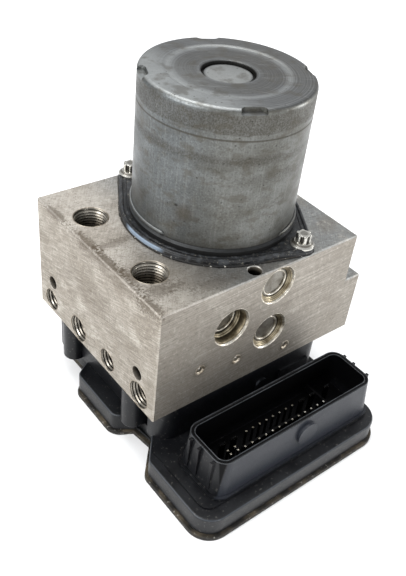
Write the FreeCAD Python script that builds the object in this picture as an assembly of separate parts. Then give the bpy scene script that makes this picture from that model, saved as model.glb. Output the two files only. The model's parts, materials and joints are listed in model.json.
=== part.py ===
import FreeCAD, Part

import math
import os

# An anti-lock brake hydraulic unit: a drilled aluminium valve block with an
# electric pump motor bolted on top and a plastic control unit hung below.
#
# Frame: millimetres, +Z up. The origin is on the motor's axis, at the underside
# of the control unit's lid, which is the face that the unit rests on. -X is the
# face with the four wheel ports, -Y the face with the plug shroud in front.

vec = FreeCAD.Vector
X_AXIS = vec(1, 0, 0)
Y_AXIS = vec(0, 1, 0)
Z_AXIS = vec(0, 0, 1)

# How a swept pipe meets itself at the corners of its path
MITRED = 1

# How far a cutting shape runs past the face it starts from
overcut = 1.0
least_corner_r = 0.3
spring_bends = 12

# Heights of the stack, from the resting face up
lid_thickness = 2.0
seam_thickness = 0.8
pan_flange = 1.4
pan_depth = 8.4
deck_step = 0.7
coil_box_height = 17.6
block_height = 54.0
gasket_thickness = 0.8
plate_thickness = 1.6

seam_bottom = lid_thickness
pan_bottom = seam_bottom + seam_thickness
deck_top = pan_bottom + pan_depth
platform_top = deck_top + deck_step
block_bottom = platform_top + coil_box_height
block_top = block_bottom + block_height
plate_bottom = block_top + gasket_thickness
plate_top = plate_bottom + plate_thickness

# Valve block, measured from the motor's axis
block_width = 100.0
block_depth = 88.0
motor_from_left = 56.8
ledge_width = 9.0
ledge_height = 30.3
edge_break = 0.5

block_left = -motor_from_left
block_right = block_left + block_width
block_front = -block_depth / 2.0
block_back = block_depth / 2.0

# Threaded ports, drilled to the thread's outer diameter
master_port_r = 7.0
master_port_depth = 16.0
master_port_from_left = 11.5
master_port_pitch = 41.8
wheel_port_big_r = 6.0
wheel_port_small_r = 5.0
wheel_port_depth = 12.0
wheel_port_count = 4
wheel_port_edge = 9.95
wheel_port_pitch = (block_depth - 2.0 * wheel_port_edge) / (wheel_port_count - 1)
wheel_port_offset = 0.4
wheel_port_height = 6.5
port_mouth_chamfer = 0.35
drill_point = 59.0

master_port_x = block_left + master_port_from_left
master_port_ys = (-master_port_pitch / 2.0, master_port_pitch / 2.0)
wheel_port_ys = [wheel_port_offset + (i - (wheel_port_count - 1) / 2.0) * wheel_port_pitch
                 for i in range(wheel_port_count)]
wheel_port_z = block_bottom + wheel_port_height

# Bracket holes
bracket_hole_r = 3.0
bracket_hole_depth = 10.0
bracket_hole_pitch = 64.7
bracket_hole_height = 17.0
top_hole_r = 2.75
top_hole_depth = 9.0
top_hole_from_left = 46.2
top_hole_from_front = 3.9

# Plugged bores in the front and back faces
cap_mouth_r = 8.7
cap_step_r = 8.2
cap_r = 7.8
cap_inset = 2.4
cap_step_inset = 1.2
cap_thickness = 3.2
cap_edge_break = 0.4
cap_throat_r = 7.9
cap_dish_r = 6.1
cap_dish_depth = 0.5
damper_cap_inset = 6.0
damper_throat_r = 7.8
pump_drop = 9.1
accumulator_drop = 33.0
damper_drop = 20.9
damper_from_left = 35.0

pump_z = block_top - pump_drop
accumulator_z = block_top - accumulator_drop
damper_z = block_top - damper_drop
damper_x = block_left + damper_from_left
damper_chamber_r = 7.0
damper_chamber_depth = 22.0

# Steel balls that close the cross drillings in the front face
ball_r = 1.75
ball_inset = 0.6
gallery_r = 1.6
gallery_length = 76.0
gallery_from_left = (21.3, 40.5, 68.5)
gallery_drop = (36.7, 40.7, 46.6)

# Pump: a pocket for the eccentric, with a piston on each side
pocket_r = 12.0
pocket_depth = 20.0
tail_r = 3.0
tail_length = 5.0
tail_end_gap = 0.5
running_clearance = 0.05
eccentric_r = 6.0
eccentric_throw = 1.5
eccentric_length = 9.0
ring_wall = 2.2
ring_length = 8.0
piston_r = 3.95
piston_length = 16.0
piston_clearance = 0.3
piston_crown_width = 0.8
piston_crown_height = 0.5
piston_socket_wall = 1.0
piston_socket_depth = 2.0
sleeve_wall = 3.0
sleeve_start = 12.4
sleeve_end_wall = 2.0
sleeve_bore_length = (block_depth / 2.0 - cap_inset - cap_thickness - sleeve_start
                      - sleeve_end_wall)
sleeve_outlet_r = 1.0
pump_spring_r = 2.4
pump_spring_wire = 0.8
pump_spring_turns = 5

piston_start = eccentric_r + ring_wall + eccentric_throw + piston_clearance
sleeve_r = piston_r + running_clearance + sleeve_wall
sleeve_length = sleeve_bore_length + sleeve_end_wall

# Accumulators: a cup and a spring in each low bore
accumulator_r = 7.0
accumulator_inner_end = 17.0
accumulator_cup_length = 7.0
accumulator_cup_wall = 1.2
accumulator_spring_r = 5.0
accumulator_spring_wire = 1.0
accumulator_spring_turns = 6

# Solenoid valves, in two columns under the block
inlet_from_left = 25.8
outlet_from_left = 44.4
valve_r = 5.4
valve_depth = 10.5
valve_clearance = 0.05
dome_r = 3.3
dome_wall = 0.5
dome_length = 14.5
armature_length = 8.0
armature_stroke = 0.3
armature_groove_depth = 0.3
armature_groove_width = 0.8
valve_spring_r = 1.5
valve_spring_wire = 0.45
valve_spring_turns = 4
coil_r = 7.0
coil_wall = 1.2
coil_wire_inset = 0.5
coil_length = 14.4
coil_top_gap = 0.6
coil_leg_r = 0.5
coil_leg_spread = 4.5
feed_r = 1.2

inlet_x = block_left + inlet_from_left
outlet_x = block_left + outlet_from_left
valve_columns = (inlet_x, outlet_x)
dome_bottom = block_bottom - dome_length
armature_r = dome_r - dome_wall - running_clearance
coil_bottom = block_bottom - coil_top_gap - coil_length

# Motor
can_r = 33.5
can_wall = 1.6
can_height = 59.2
can_edge_radius = 2.0
can_foot_r = 34.5
can_foot_height = 2.6
can_foot_taper = 0.8
can_top_step_r = 24.5
can_top_step = 0.4
can_top_step_run = 1.2
bearing_pocket_r = 10.3
bearing_pocket_depth = 1.3
bearing_groove = 0.9
bearing_groove_break = 0.4
bearing_mouth_rise = 0.5
bearing_mouth_run = 0.6
scallop_width = 9.5
scallop_reach = 3.2
scallop_depth = 1.8
scallop_corner_r = 2.5
scallop_angle = -23.5
scallop_count = 4
flange_r = 38.2
ear_r = 5.0
ear_front_gap = 0.16
bolt_angle = -69.0
bolt_circle_r = ((block_depth / 2.0 - ear_front_gap - ear_r)
                 / abs(math.sin(math.radians(bolt_angle))))
screw_flange_r = 4.9
screw_flange_height = 1.3
screw_washer_height = 0.6
screw_head_r = 3.4
screw_head_height = 4.6
screw_shank_r = 2.9
screw_length = 14.0
screw_clearance = 0.1
screw_lobes = 6
screw_core_r = 2.55
screw_lobe_r = 0.85
screw_lobe_circle_r = 2.3
screw_edge_break = 0.25
spigot_length = 2.5
spigot_clearance = 0.1
gasket_hole_clearance = 0.5
plate_edge_radius = 0.55

can_top = plate_top + can_height
can_inner_r = can_r - can_wall

# Motor insides
shaft_r = 4.0
bearing_r = 8.0
bearing_height = 5.0
bearing_race = 1.4
hub_wall = 1.8
upper_boss_depth = 3.6
magnet_thickness = 5.6
magnet_height = 22.0
magnet_span = 140.0
air_gap = 0.6
core_height = 17.0
core_slots = 12
slot_width = 4.4
slot_bottom_r = 14.0
slot_fill_r = 22.5
winding_height = 4.6
winding_inner_r = 10.4
winding_edge_radius = 1.2
winding_from_plate = 21.5
commutator_r = 10.0
commutator_height = 11.0
commutator_slot = 0.6
commutator_slot_depth = 1.0
holder_thickness = 1.8
holder_height = 7.2
holder_clearance = 0.3
holder_post_r = 1.5
holder_post_inset = 4.0
holder_post_angles = (45.0, 135.0, 225.0, 315.0)
brush_box_gap = 2.0
brush_gap = 0.08
brush_length = 12.0
brush_width = 6.0
brush_height = 5.0
brush_box_wall = 1.0
brush_spring_r = 1.8
brush_spring_wire = 0.5
brush_spring_turns = 5
brush_spring_length = 6.0
lead_x = 25.0
lead_r = 3.6
lead_clearance = 0.2
lead_pin_r = 0.8
lead_pin_spread = 1.8
lead_end_height = 12.5

core_r = can_inner_r - magnet_thickness - air_gap
winding_bottom = plate_top + winding_from_plate
core_bottom = winding_bottom + winding_height
core_top = core_bottom + core_height
commutator_top = winding_bottom
commutator_bottom = commutator_top - commutator_height
upper_bearing_top = can_top - upper_boss_depth
upper_bearing_bottom = upper_bearing_top - bearing_height
holder_bottom = plate_top + holder_height
shaft_top = upper_bearing_top

# Control unit, measured from the block's left and front faces
lid_proud = 1.3
pan_wall = 2.0
deck_thickness = 1.8
deck_edge_radius = 0.8
pan_left_proud = 2.7
lobe_proud = 1.6
pan_front_reach = 40.6
pan_right_inset = 3.5
pan_back_inset = 0.4
pan_corner_r = 9.0
pan_front_right_r = 10.5
pan_back_right_r = 4.5
bite_depth = 8.0
front_bite_start = -3.0
front_bite_end = 20.6
back_bite_start = 56.0
bite_r = 4.0
bite_small_r = 2.0
front_bite_run = 12.3
front_bite_flare = 1.5
back_bite_run = 5.9
upper_back_inset = 0.6
upper_back_rise = 2.0
upper_side_gap = 6.4
upper_bite_front = 10.0
upper_bite_back = 18.6
coil_box_left_inset = 6.0
coil_box_right_inset = 6.4
coil_box_front_inset = 0.4
coil_box_wall = 2.0
coil_box_corner_r = 8.0
column_r = 5.0
column_foot_height = 9.6
column_edge_radius = 0.6
column_web_half = 3.0
column_from_front = (20.3, 67.8)
recess_left_wall = 12.5
recess_front = 11.0
recess_r = 1.0
recess_mouth_r = 1.9
platform_left_inset = 1.3
platform_front_inset = 5.4
platform_right_inset = 4.6
platform_bite_inset = 1.5
platform_corner_r = 5.0

pan_left = block_left - pan_left_proud
pan_front = block_front - pan_front_reach
pan_right = block_right - pan_right_inset
pan_back = block_back - pan_back_inset
coil_left = block_left + coil_box_left_inset
coil_right = block_right - coil_box_right_inset
coil_front = block_front + coil_box_front_inset
coil_back = block_back - coil_box_front_inset
column_x = block_left + column_r

# Plug shroud
shroud_height = 18.6
shroud_left_inset = 7.0
shroud_right_inset = 6.6
shroud_front_inset = 34.3
shroud_back_inset = 8.2
shroud_draft = 1.4
shroud_corner_r = 5.5
shroud_wall = 1.8
shroud_foot = 1.0
shroud_foot_height = 1.6
shroud_rib_width = 1.3
shroud_rib_depth = 1.0
shroud_rib_length = 15.0
shroud_rib_top_gap = 0.6
shroud_rib_from_front = (14.8, 20.2, 28.2)
shroud_button_r = 5.2
shroud_button_height = 1.2
shroud_button_from_left = 53.0
shroud_button_drop = 7.6
partition_height = 4.5
partition_thickness = 1.0
partition_from_left = (18.5, 77.5)

# Marks on the coil box's front wall
wall_mark_proud = 1.0
wall_mark_bite = 0.4
wall_boss_r = 3.2
wall_boss_from_left = 58.4
wall_boss_drop = 11.0
wall_ledge_from_left = 69.0
wall_ledge_drop = 8.0

shroud_left = block_left + shroud_left_inset
shroud_right = block_right - shroud_right_inset
shroud_front = block_front - shroud_front_inset
shroud_back = block_front - shroud_back_inset
shroud_top = platform_top + shroud_height

# Pins in the shroud
pin_side = 0.7
pin_height = 9.0
pin_clearance = 0.05
pin_pitch = 3.68
front_row_inset = 24.1
back_row_inset = 18.3
front_row_start = 28.7
front_row_count = 13
back_row_start = 34.0
back_row_count = 8
pair_from_left = (21.4, 25.1)
pair_spread = 1.0
pair_inset = 22.9
blade_width = 2.8
blade_thickness = 0.8
blade_height = 9.5
blade_from_left = (14.9, 21.6, 27.6, 65.3, 71.7, 80.6)

# Circuit board, screws under the block
board_thickness = 1.6
board_height = 5.4
board_clearance = 0.5
board_left_inset = 16.0
unit_screw_r = 1.9
unit_screw_head_r = 3.4
unit_screw_head_height = 2.2
unit_screw_reach = 8.0
unit_screw_seat = 8.0
unit_screw_inset = 6.4
unit_screw_port_gap = 1.7
unit_screw_socket = 1.3
post_wall = 1.4
unit_seal_thickness = 0.5
unit_seal_width = 1.2
unit_seal_inset = 0.5

# Sealant bead and lid
seam_inset = 0.5
lid_edge_radius = 0.4

board_bottom = board_height
board_top = board_bottom + board_thickness


def box(x0, x1, y0, y1, z0, z1):
    """A block between two corners."""
    return Part.makeBox(x1 - x0, y1 - y0, z1 - z0, vec(x0, y0, z0))


def rod(radius, length, base, axis=Z_AXIS):
    """A cylinder that starts at base and runs along axis."""
    return Part.makeCylinder(radius, length, vec(*base), axis)


def tube(outer, inner, length, base, axis=Z_AXIS):
    """A round pipe."""
    return rod(outer, length, base, axis).cut(rod(inner, length, base, axis))


def blind_hole(radius, depth, mouth, axis, chamfer=0.0):
    """A drilled hole: straight wall, pointed end and a broken mouth edge."""
    start = vec(*mouth)
    point_height = radius / math.tan(math.radians(drill_point))
    hole = Part.makeCylinder(radius, depth, start, axis)
    tip = Part.makeCone(radius, 0.0, point_height, start + axis * depth, axis)
    hole = hole.fuse(tip)
    if chamfer > 0.0:
        mouth_cone = Part.makeCone(radius + chamfer, radius, chamfer, start, axis)
        hole = hole.fuse(mouth_cone)
    return hole


def turned(profile, origin=(0.0, 0.0, 0.0), axis=Z_AXIS):
    """A turned solid from (radius, height) points, set on origin along axis."""
    points = [vec(r, 0, h) for r, h in profile]
    wire = Part.makePolygon(points + [points[0]])
    solid = Part.Face(wire).revolve(vec(0, 0, 0), Z_AXIS, 360)
    turn = FreeCAD.Rotation(Z_AXIS, axis)
    solid.Placement = FreeCAD.Placement(vec(*origin), turn)
    return solid


def arc_corner(before, corner, after, radius):
    """Start, middle and end of the arc that rounds a corner."""
    to_before = (before - corner).normalize()
    to_after = (after - corner).normalize()
    half = to_before.getAngle(to_after) / 2.0
    reach = radius / math.tan(half)
    middle_way = (to_before + to_after).normalize()
    centre = corner + middle_way * (radius / math.sin(half))
    middle = centre - middle_way * radius
    return corner + to_before * reach, middle, corner + to_after * reach


def rounded_wire(corners, z):
    """A closed outline through (x, y, radius) corners, each one rounded."""
    points = [vec(x, y, z) for x, y, _ in corners]
    count = len(corners)
    arcs = []
    for i in range(count):
        before = points[i - 1]
        after = points[(i + 1) % count]
        arcs.append(arc_corner(before, points[i], after, corners[i][2]))
    edges = []
    for i in range(count):
        start, middle, end = arcs[i]
        next_start = arcs[(i + 1) % count][0]
        edges.append(Part.Arc(start, middle, end).toShape())
        if end.distanceToPoint(next_start) > 1e-6:
            edges.append(Part.LineSegment(end, next_start).toShape())
    return Part.Wire(edges)


def slab(corners, z0, z1):
    """A plate with a rounded outline, from z0 up to z1."""
    return Part.Face(rounded_wire(corners, z0)).extrude(vec(0, 0, z1 - z0))


def rectangle(x0, x1, y0, y1, radius):
    """Corners of a rounded rectangle, anticlockwise."""
    return [(x0, y0, radius), (x1, y0, radius), (x1, y1, radius), (x0, y1, radius)]


def inset(corners, distance):
    """The same anticlockwise outline moved inwards, its arcs kept concentric."""
    count = len(corners)
    moved = []
    for i in range(count):
        x0, y0, _ = corners[i - 1]
        x1, y1, radius = corners[i]
        x2, y2, _ = corners[(i + 1) % count]
        a = vec(x1 - x0, y1 - y0, 0).normalize()
        b = vec(x2 - x1, y2 - y1, 0).normalize()
        turn = a.x * b.y - a.y * b.x
        inward_a = vec(-a.y, a.x, 0)
        inward_b = vec(-b.y, b.x, 0)
        share = distance / (1.0 + inward_a.dot(inward_b))
        corner = vec(x1, y1, 0) + (inward_a + inward_b) * share
        new_radius = radius - distance if turn > 0 else radius + distance
        moved.append((corner.x, corner.y, max(new_radius, least_corner_r)))
    return moved


def coil_spring(radius, wire, turns, length, base, axis):
    """A round-wire spring, bent in short straight runs, that lies inside its length."""
    climb = length - wire
    count = turns * spring_bends
    points = []
    for i in range(count + 1):
        angle = 2.0 * math.pi * i / spring_bends
        points.append(vec(radius * math.cos(angle), radius * math.sin(angle),
                          climb * i / count))
    section = Part.Circle(points[0], points[1] - points[0], wire / 2.0).toShape()
    path = Part.makePolygon(points)
    spring = path.makePipeShell([Part.Wire(section)], True, False, MITRED)
    turn = FreeCAD.Rotation(Z_AXIS, axis)
    spring.Placement = FreeCAD.Placement(vec(*base) + axis * (wire / 2.0), turn)
    return spring


def fused(shapes):
    """One solid from touching shapes, with its coplanar faces joined."""
    whole = shapes[0]
    if len(shapes) > 1:
        whole = shapes[0].multiFuse(shapes[1:])
    return whole.removeSplitter()


def edges_where(shape, wanted):
    """The edges of a shape whose middle passes a test."""
    found = []
    for edge in shape.Edges:
        middle = edge.valueAt((edge.FirstParameter + edge.LastParameter) / 2.0)
        if wanted(middle):
            found.append(edge)
    return found


def write(node, shape):
    """Write one node's STEP file."""
    shape.exportStep("parts/" + node + ".step")


def on_circle(radius, degrees, z):
    """A point on a circle about the motor's axis."""
    angle = math.radians(degrees)
    return vec(radius * math.cos(angle), radius * math.sin(angle), z)


# Valve block

def gallery_places():
    """The (x, z) places of the drillings that the balls close."""
    return [(block_left + left, block_top - drop)
            for left, drop in zip(gallery_from_left, gallery_drop)]


def plugged_bore(x, z, side, inset_depth, throat_r, bore_r, bore_end):
    """A stepped bore for a plug. side is -1 for the front face, 1 for the back."""
    face = side * block_back
    inward = Y_AXIS * -side
    profile = [
        (0.0, -overcut),
        (cap_mouth_r + overcut, -overcut),
        (cap_mouth_r, 0.0),
        (cap_step_r, cap_step_inset / 2.0),
        (cap_step_r, cap_step_inset),
        (throat_r, inset_depth - cap_step_inset / 2.0),
        (throat_r, inset_depth),
        (cap_r, inset_depth),
        (cap_r, inset_depth + cap_thickness),
        (bore_r, inset_depth + cap_thickness),
        (bore_r, block_back - bore_end),
        (0.0, block_back - bore_end),
    ]
    return turned(profile, (x, face, z), inward)


def block_body():
    """The bare block with its ledge and broken edges."""
    main = box(block_left, block_right, block_front, block_back, block_bottom, block_top)
    ledge = box(block_right - edge_break, block_right + ledge_width,
                block_front, block_back, block_bottom, block_bottom + ledge_height)
    body = fused([main, ledge])
    inner_corner_z = block_bottom + ledge_height
    outer = edges_where(body, lambda p: not (
        abs(p.x - block_right) < 0.01 and abs(p.z - inner_corner_z) < 0.01))
    return body.makeChamfer(edge_break, outer)


def port_holes():
    """Master and wheel ports, bracket holes and the drillings behind them."""
    holes = []
    bottom_z = block_top - master_port_depth
    gallery_x, gallery_z = gallery_places()[0]
    for y in master_port_ys:
        holes.append(blind_hole(master_port_r, master_port_depth,
                                (master_port_x, y, block_top), Z_AXIS * -1,
                                port_mouth_chamfer))
        link = vec(gallery_x - master_port_x, 0, gallery_z - bottom_z)
        holes.append(Part.makeCylinder(feed_r, link.Length,
                                       vec(master_port_x, y, bottom_z), link))
    for i, y in enumerate(wheel_port_ys):
        radius = wheel_port_big_r if i % 2 == 0 else wheel_port_small_r
        mouth = (block_left, y, wheel_port_z)
        holes.append(blind_hole(radius, wheel_port_depth, mouth, X_AXIS,
                                port_mouth_chamfer))
        holes.append(rod(feed_r, outlet_from_left, mouth, X_AXIS))
    bracket_z = block_bottom + bracket_hole_height
    for side in (-1, 1):
        y = wheel_port_offset + side * bracket_hole_pitch / 2.0
        holes.append(blind_hole(bracket_hole_r, bracket_hole_depth,
                                (block_left, y, bracket_z), X_AXIS))
    top_hole = (block_left + top_hole_from_left,
                block_front + top_hole_from_front, block_top)
    holes.append(blind_hole(top_hole_r, top_hole_depth, top_hole, Z_AXIS * -1,
                            port_mouth_chamfer))
    return holes


def gallery_holes():
    """Long cross drillings with a wider mouth for each ball."""
    holes = []
    for x, z in gallery_places():
        holes.append(rod(gallery_r, gallery_length, (x, block_front, z), Y_AXIS))
        mouth_depth = ball_inset + 2.0 * ball_r
        holes.append(rod(ball_r, mouth_depth, (x, block_front, z), Y_AXIS))
        dish = Part.makeCone(ball_r + ball_inset, ball_r, ball_inset,
                             vec(x, block_front, z), Y_AXIS)
        holes.append(dish)
    return holes


def valve_holes():
    """Stepped bores for the valves, with a feed up to each gallery."""
    holes = []
    for column, (gallery_x, gallery_z) in zip(valve_columns, gallery_places()):
        for y in wheel_port_ys:
            depth = valve_depth + valve_clearance
            holes.append(rod(valve_r + valve_clearance, depth, (column, y, block_bottom)))
            feed = gallery_z - block_bottom
            holes.append(rod(feed_r, feed, (gallery_x, y, block_bottom)))
    return holes


def screw_places():
    """The two motor screws, opposite each other."""
    return [on_circle(bolt_circle_r, bolt_angle + half_turn, 0.0)
            for half_turn in (0.0, 180.0)]


def unit_screw_places():
    """The control unit's four screws: two between the wheel ports, two in the right corners."""
    spread = wheel_port_pitch - unit_screw_port_gap
    left = [(coil_left + unit_screw_inset, wheel_port_offset + side * spread)
            for side in (-1, 1)]
    right = [(coil_right - unit_screw_inset, y)
             for y in (coil_front + unit_screw_inset, coil_back - unit_screw_inset)]
    return left + right


def motor_holes():
    """Pocket for the eccentric, tail bore, lead bore and the screw holes."""
    pocket_bottom = block_top - pocket_depth
    holes = [
        rod(pocket_r, pocket_depth, (0, 0, pocket_bottom)),
        rod(tail_r + running_clearance, tail_length, (0, 0, pocket_bottom - tail_length)),
        rod(lead_r + lead_clearance, block_height, (lead_x, 0, block_bottom)),
    ]
    for place in screw_places():
        holes.append(blind_hole(screw_shank_r + screw_clearance, screw_length + overcut,
                                (place.x, place.y, block_top), Z_AXIS * -1))
    for x, y in unit_screw_places():
        holes.append(blind_hole(unit_screw_r + screw_clearance, unit_screw_reach + overcut,
                                (x, y, block_bottom), Z_AXIS))
    return holes


def valve_block():
    """The drilled block."""
    holes = port_holes() + gallery_holes() + valve_holes() + motor_holes()
    for side in (-1, 1):
        holes.append(plugged_bore(0.0, pump_z, side, cap_inset, cap_throat_r,
                                  sleeve_r + running_clearance, pocket_r - overcut))
        holes.append(plugged_bore(0.0, accumulator_z, side, cap_inset, cap_throat_r,
                                  accumulator_r, accumulator_inner_end))
        holes.append(plugged_bore(damper_x, damper_z, side, damper_cap_inset,
                                  damper_throat_r, damper_chamber_r,
                                  block_back - damper_chamber_depth))
    body = block_body()
    for hole in holes:
        body = body.cut(hole)
    return body


def bore_cap(x, z, side, inset_depth):
    """A staked plug with a shallow dish in its face."""
    profile = [
        (0.0, cap_dish_depth),
        (cap_dish_r - cap_dish_depth, cap_dish_depth),
        (cap_dish_r, 0.0),
        (cap_r - cap_edge_break, 0.0),
        (cap_r, cap_edge_break),
        (cap_r, cap_thickness),
        (0.0, cap_thickness),
    ]
    face = side * (block_back - inset_depth)
    return turned(profile, (x, face, z), Y_AXIS * -side)


def ball_plugs():
    """The three balls pressed into the front face."""
    y = block_front + ball_inset + ball_r
    return Part.makeCompound([Part.makeSphere(ball_r, vec(x, y, z))
                              for x, z in gallery_places()])


# Pump and accumulators

def pump_sleeve(side):
    """A closed-end liner that the pump piston runs in."""
    axis = Y_AXIS * side
    start = (0.0, side * sleeve_start, pump_z)
    body = rod(sleeve_r, sleeve_length, start, axis)
    bore = rod(piston_r + running_clearance, sleeve_bore_length, start, axis)
    outlet = rod(sleeve_outlet_r, sleeve_length, start, axis)
    return body.cut(bore).cut(outlet)


def pump_piston(side):
    """A plain piston with a crowned foot that faces the eccentric ring."""
    profile = [
        (0.0, 0.0),
        (piston_r - piston_crown_width, 0.0),
        (piston_r, piston_crown_height),
        (piston_r, piston_length),
        (piston_r - piston_socket_wall, piston_length),
        (piston_r - piston_socket_wall, piston_length - piston_socket_depth),
        (0.0, piston_length - piston_socket_depth),
    ]
    return turned(profile, (0.0, side * piston_start, pump_z), Y_AXIS * side)


def pump_spring(side):
    """The spring between the piston's socket and the sleeve's closed end."""
    start = piston_start + piston_length - piston_socket_depth + running_clearance
    end = sleeve_start + sleeve_bore_length - running_clearance
    return coil_spring(pump_spring_r, pump_spring_wire, pump_spring_turns, end - start,
                       (0.0, side * start, pump_z), Y_AXIS * side)


def accumulator_piston(side):
    """A cup that slides in the accumulator bore."""
    radius = accumulator_r - running_clearance
    inner_r = radius - accumulator_cup_wall
    profile = [
        (0.0, 0.0),
        (radius, 0.0),
        (radius, accumulator_cup_length),
        (inner_r, accumulator_cup_length),
        (inner_r, accumulator_cup_wall),
        (0.0, accumulator_cup_wall),
    ]
    start = accumulator_inner_end + running_clearance
    return turned(profile, (0.0, side * start, accumulator_z), Y_AXIS * side)


def accumulator_spring(side):
    """The spring between the cup's floor and the bore's plug."""
    start = accumulator_inner_end + accumulator_cup_wall + 2.0 * running_clearance
    end = block_back - cap_inset - cap_thickness - running_clearance
    return coil_spring(accumulator_spring_r, accumulator_spring_wire,
                       accumulator_spring_turns, end - start,
                       (0.0, side * start, accumulator_z), Y_AXIS * side)


# Valves

def valve_body(x, y):
    """A valve seat pressed into the block, with the dome that its armature runs in."""
    seat = rod(valve_r, valve_depth, (x, y, block_bottom))
    dome = rod(dome_r, dome_length, (x, y, dome_bottom))
    body = fused([seat, dome])
    bore = rod(dome_r - dome_wall, dome_length - 2.0 * dome_wall,
               (x, y, dome_bottom + dome_wall))
    passage = rod(feed_r, valve_depth + dome_length, (x, y, dome_bottom + dome_length / 2.0))
    return body.cut(bore).cut(passage)


def armature_span(is_inlet):
    """Lowest and highest height of a resting armature."""
    low = dome_bottom + dome_wall + running_clearance
    high = block_bottom - dome_wall - running_clearance
    if is_inlet:
        return low, low + armature_length
    return high - armature_length, high


def valve_armature(x, y, is_inlet):
    """The steel slug that the coil pulls."""
    low, high = armature_span(is_inlet)
    slug = rod(armature_r, high - low, (x, y, low))
    groove = tube(armature_r + overcut, armature_r - armature_groove_depth,
                  armature_groove_width, (x, y, (low + high) / 2.0))
    return slug.cut(groove)


def valve_spring(x, y, is_inlet):
    """The return spring at the armature's free end, clear of its stroke."""
    low, high = armature_span(is_inlet)
    clear = armature_stroke + 2.0 * running_clearance
    floor = dome_bottom + dome_wall + running_clearance
    ceiling = block_bottom - dome_wall - running_clearance
    start, end = (high + clear, ceiling) if is_inlet else (floor, low - clear)
    return coil_spring(valve_spring_r, valve_spring_wire, valve_spring_turns,
                       end - start, (x, y, start), Z_AXIS)


def valve_coil(x, y):
    """A wound bobbin round a dome, with two legs down to the board."""
    inner = dome_r + 2.0 * valve_clearance
    profile = [
        (inner, 0.0),
        (coil_r, 0.0),
        (coil_r, coil_wall),
        (coil_r - coil_wire_inset, coil_wall),
        (coil_r - coil_wire_inset, coil_length - coil_wall),
        (coil_r, coil_length - coil_wall),
        (coil_r, coil_length),
        (inner, coil_length),
    ]
    shapes = [turned(profile, (x, y, coil_bottom))]
    for side in (-1, 1):
        leg_height = coil_bottom - board_top + coil_wall
        shapes.append(rod(coil_leg_r, leg_height, (x, y + side * coil_leg_spread, board_top)))
    return fused(shapes)


# Motor

def flange_outline(z0, z1):
    """A round plate with two tangent ears that carry the screws."""
    shapes = [rod(flange_r, z1 - z0, (0, 0, z0))]
    spread = math.degrees(math.acos((flange_r - ear_r) / bolt_circle_r))
    for half_turn in (0.0, 180.0):
        angle = bolt_angle + half_turn
        centre = on_circle(bolt_circle_r, angle, z0)
        shapes.append(rod(ear_r, z1 - z0, (centre.x, centre.y, z0)))
        points = [vec(0, 0, z0)]
        for side in (-1, 1):
            direction = on_circle(1.0, angle + side * spread, 0.0)
            tangent = direction * flange_r + vec(0, 0, z0)
            ear_point = centre + direction * ear_r
            points += [tangent, ear_point] if side < 0 else [ear_point, tangent]
        wire = Part.makePolygon(points + [points[0]])
        shapes.append(Part.Face(wire).extrude(vec(0, 0, z1 - z0)))
    return fused(shapes)


def screw_clearance_holes(z0, z1):
    """Holes for the two motor screws through a plate."""
    return [rod(screw_shank_r + 2.0 * screw_clearance, z1 - z0, (p.x, p.y, z0))
            for p in screw_places()]


def motor_gasket():
    """The seal between the block and the motor's end plate."""
    body = flange_outline(block_top, plate_bottom)
    body = body.cut(rod(pocket_r + gasket_hole_clearance, gasket_thickness, (0, 0, block_top)))
    body = body.cut(rod(lead_r + lead_clearance, gasket_thickness, (lead_x, 0, block_top)))
    for hole in screw_clearance_holes(block_top, plate_bottom):
        body = body.cut(hole)
    return body


def motor_end_plate():
    """The stamped plate that closes the can and carries the lower bearing."""
    plate = flange_outline(plate_bottom, plate_top)
    rim = edges_where(plate, lambda p: abs(p.z - plate_top) < 0.01)
    plate = plate.makeFillet(plate_edge_radius, rim)
    hub_r = bearing_r + hub_wall
    hub = rod(hub_r, bearing_height, (0, 0, plate_top))
    spigot_outer = pocket_r - spigot_clearance
    spigot = rod(spigot_outer, spigot_length, (0, 0, plate_bottom - spigot_length))
    body = fused([plate, hub, spigot])
    seat = rod(bearing_r, bearing_height + plate_thickness / 2.0,
               (0, 0, plate_bottom + plate_thickness / 2.0))
    throat_length = spigot_length + plate_thickness
    throat = rod(bearing_r - bearing_race, throat_length, (0, 0, plate_bottom - spigot_length))
    lead = rod(lead_r + lead_clearance, plate_thickness, (lead_x, 0, plate_bottom))
    body = body.cut(seat).cut(throat).cut(lead)
    for hole in screw_clearance_holes(plate_bottom, plate_top):
        body = body.cut(hole)
    return body


def scallop(index):
    """The notch that one crimp leaves in the can's top edge."""
    angle = scallop_angle + index * 360.0 / scallop_count
    inner = can_r - scallop_reach
    outer = can_r + scallop_reach
    half = scallop_width / 2.0
    notch = slab([(inner, -half, scallop_corner_r), (outer, -half, least_corner_r),
                  (outer, half, least_corner_r), (inner, half, scallop_corner_r)],
                 can_top - scallop_depth, can_top + overcut)
    notch.rotate(vec(0, 0, 0), Z_AXIS, angle)
    return notch


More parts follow.
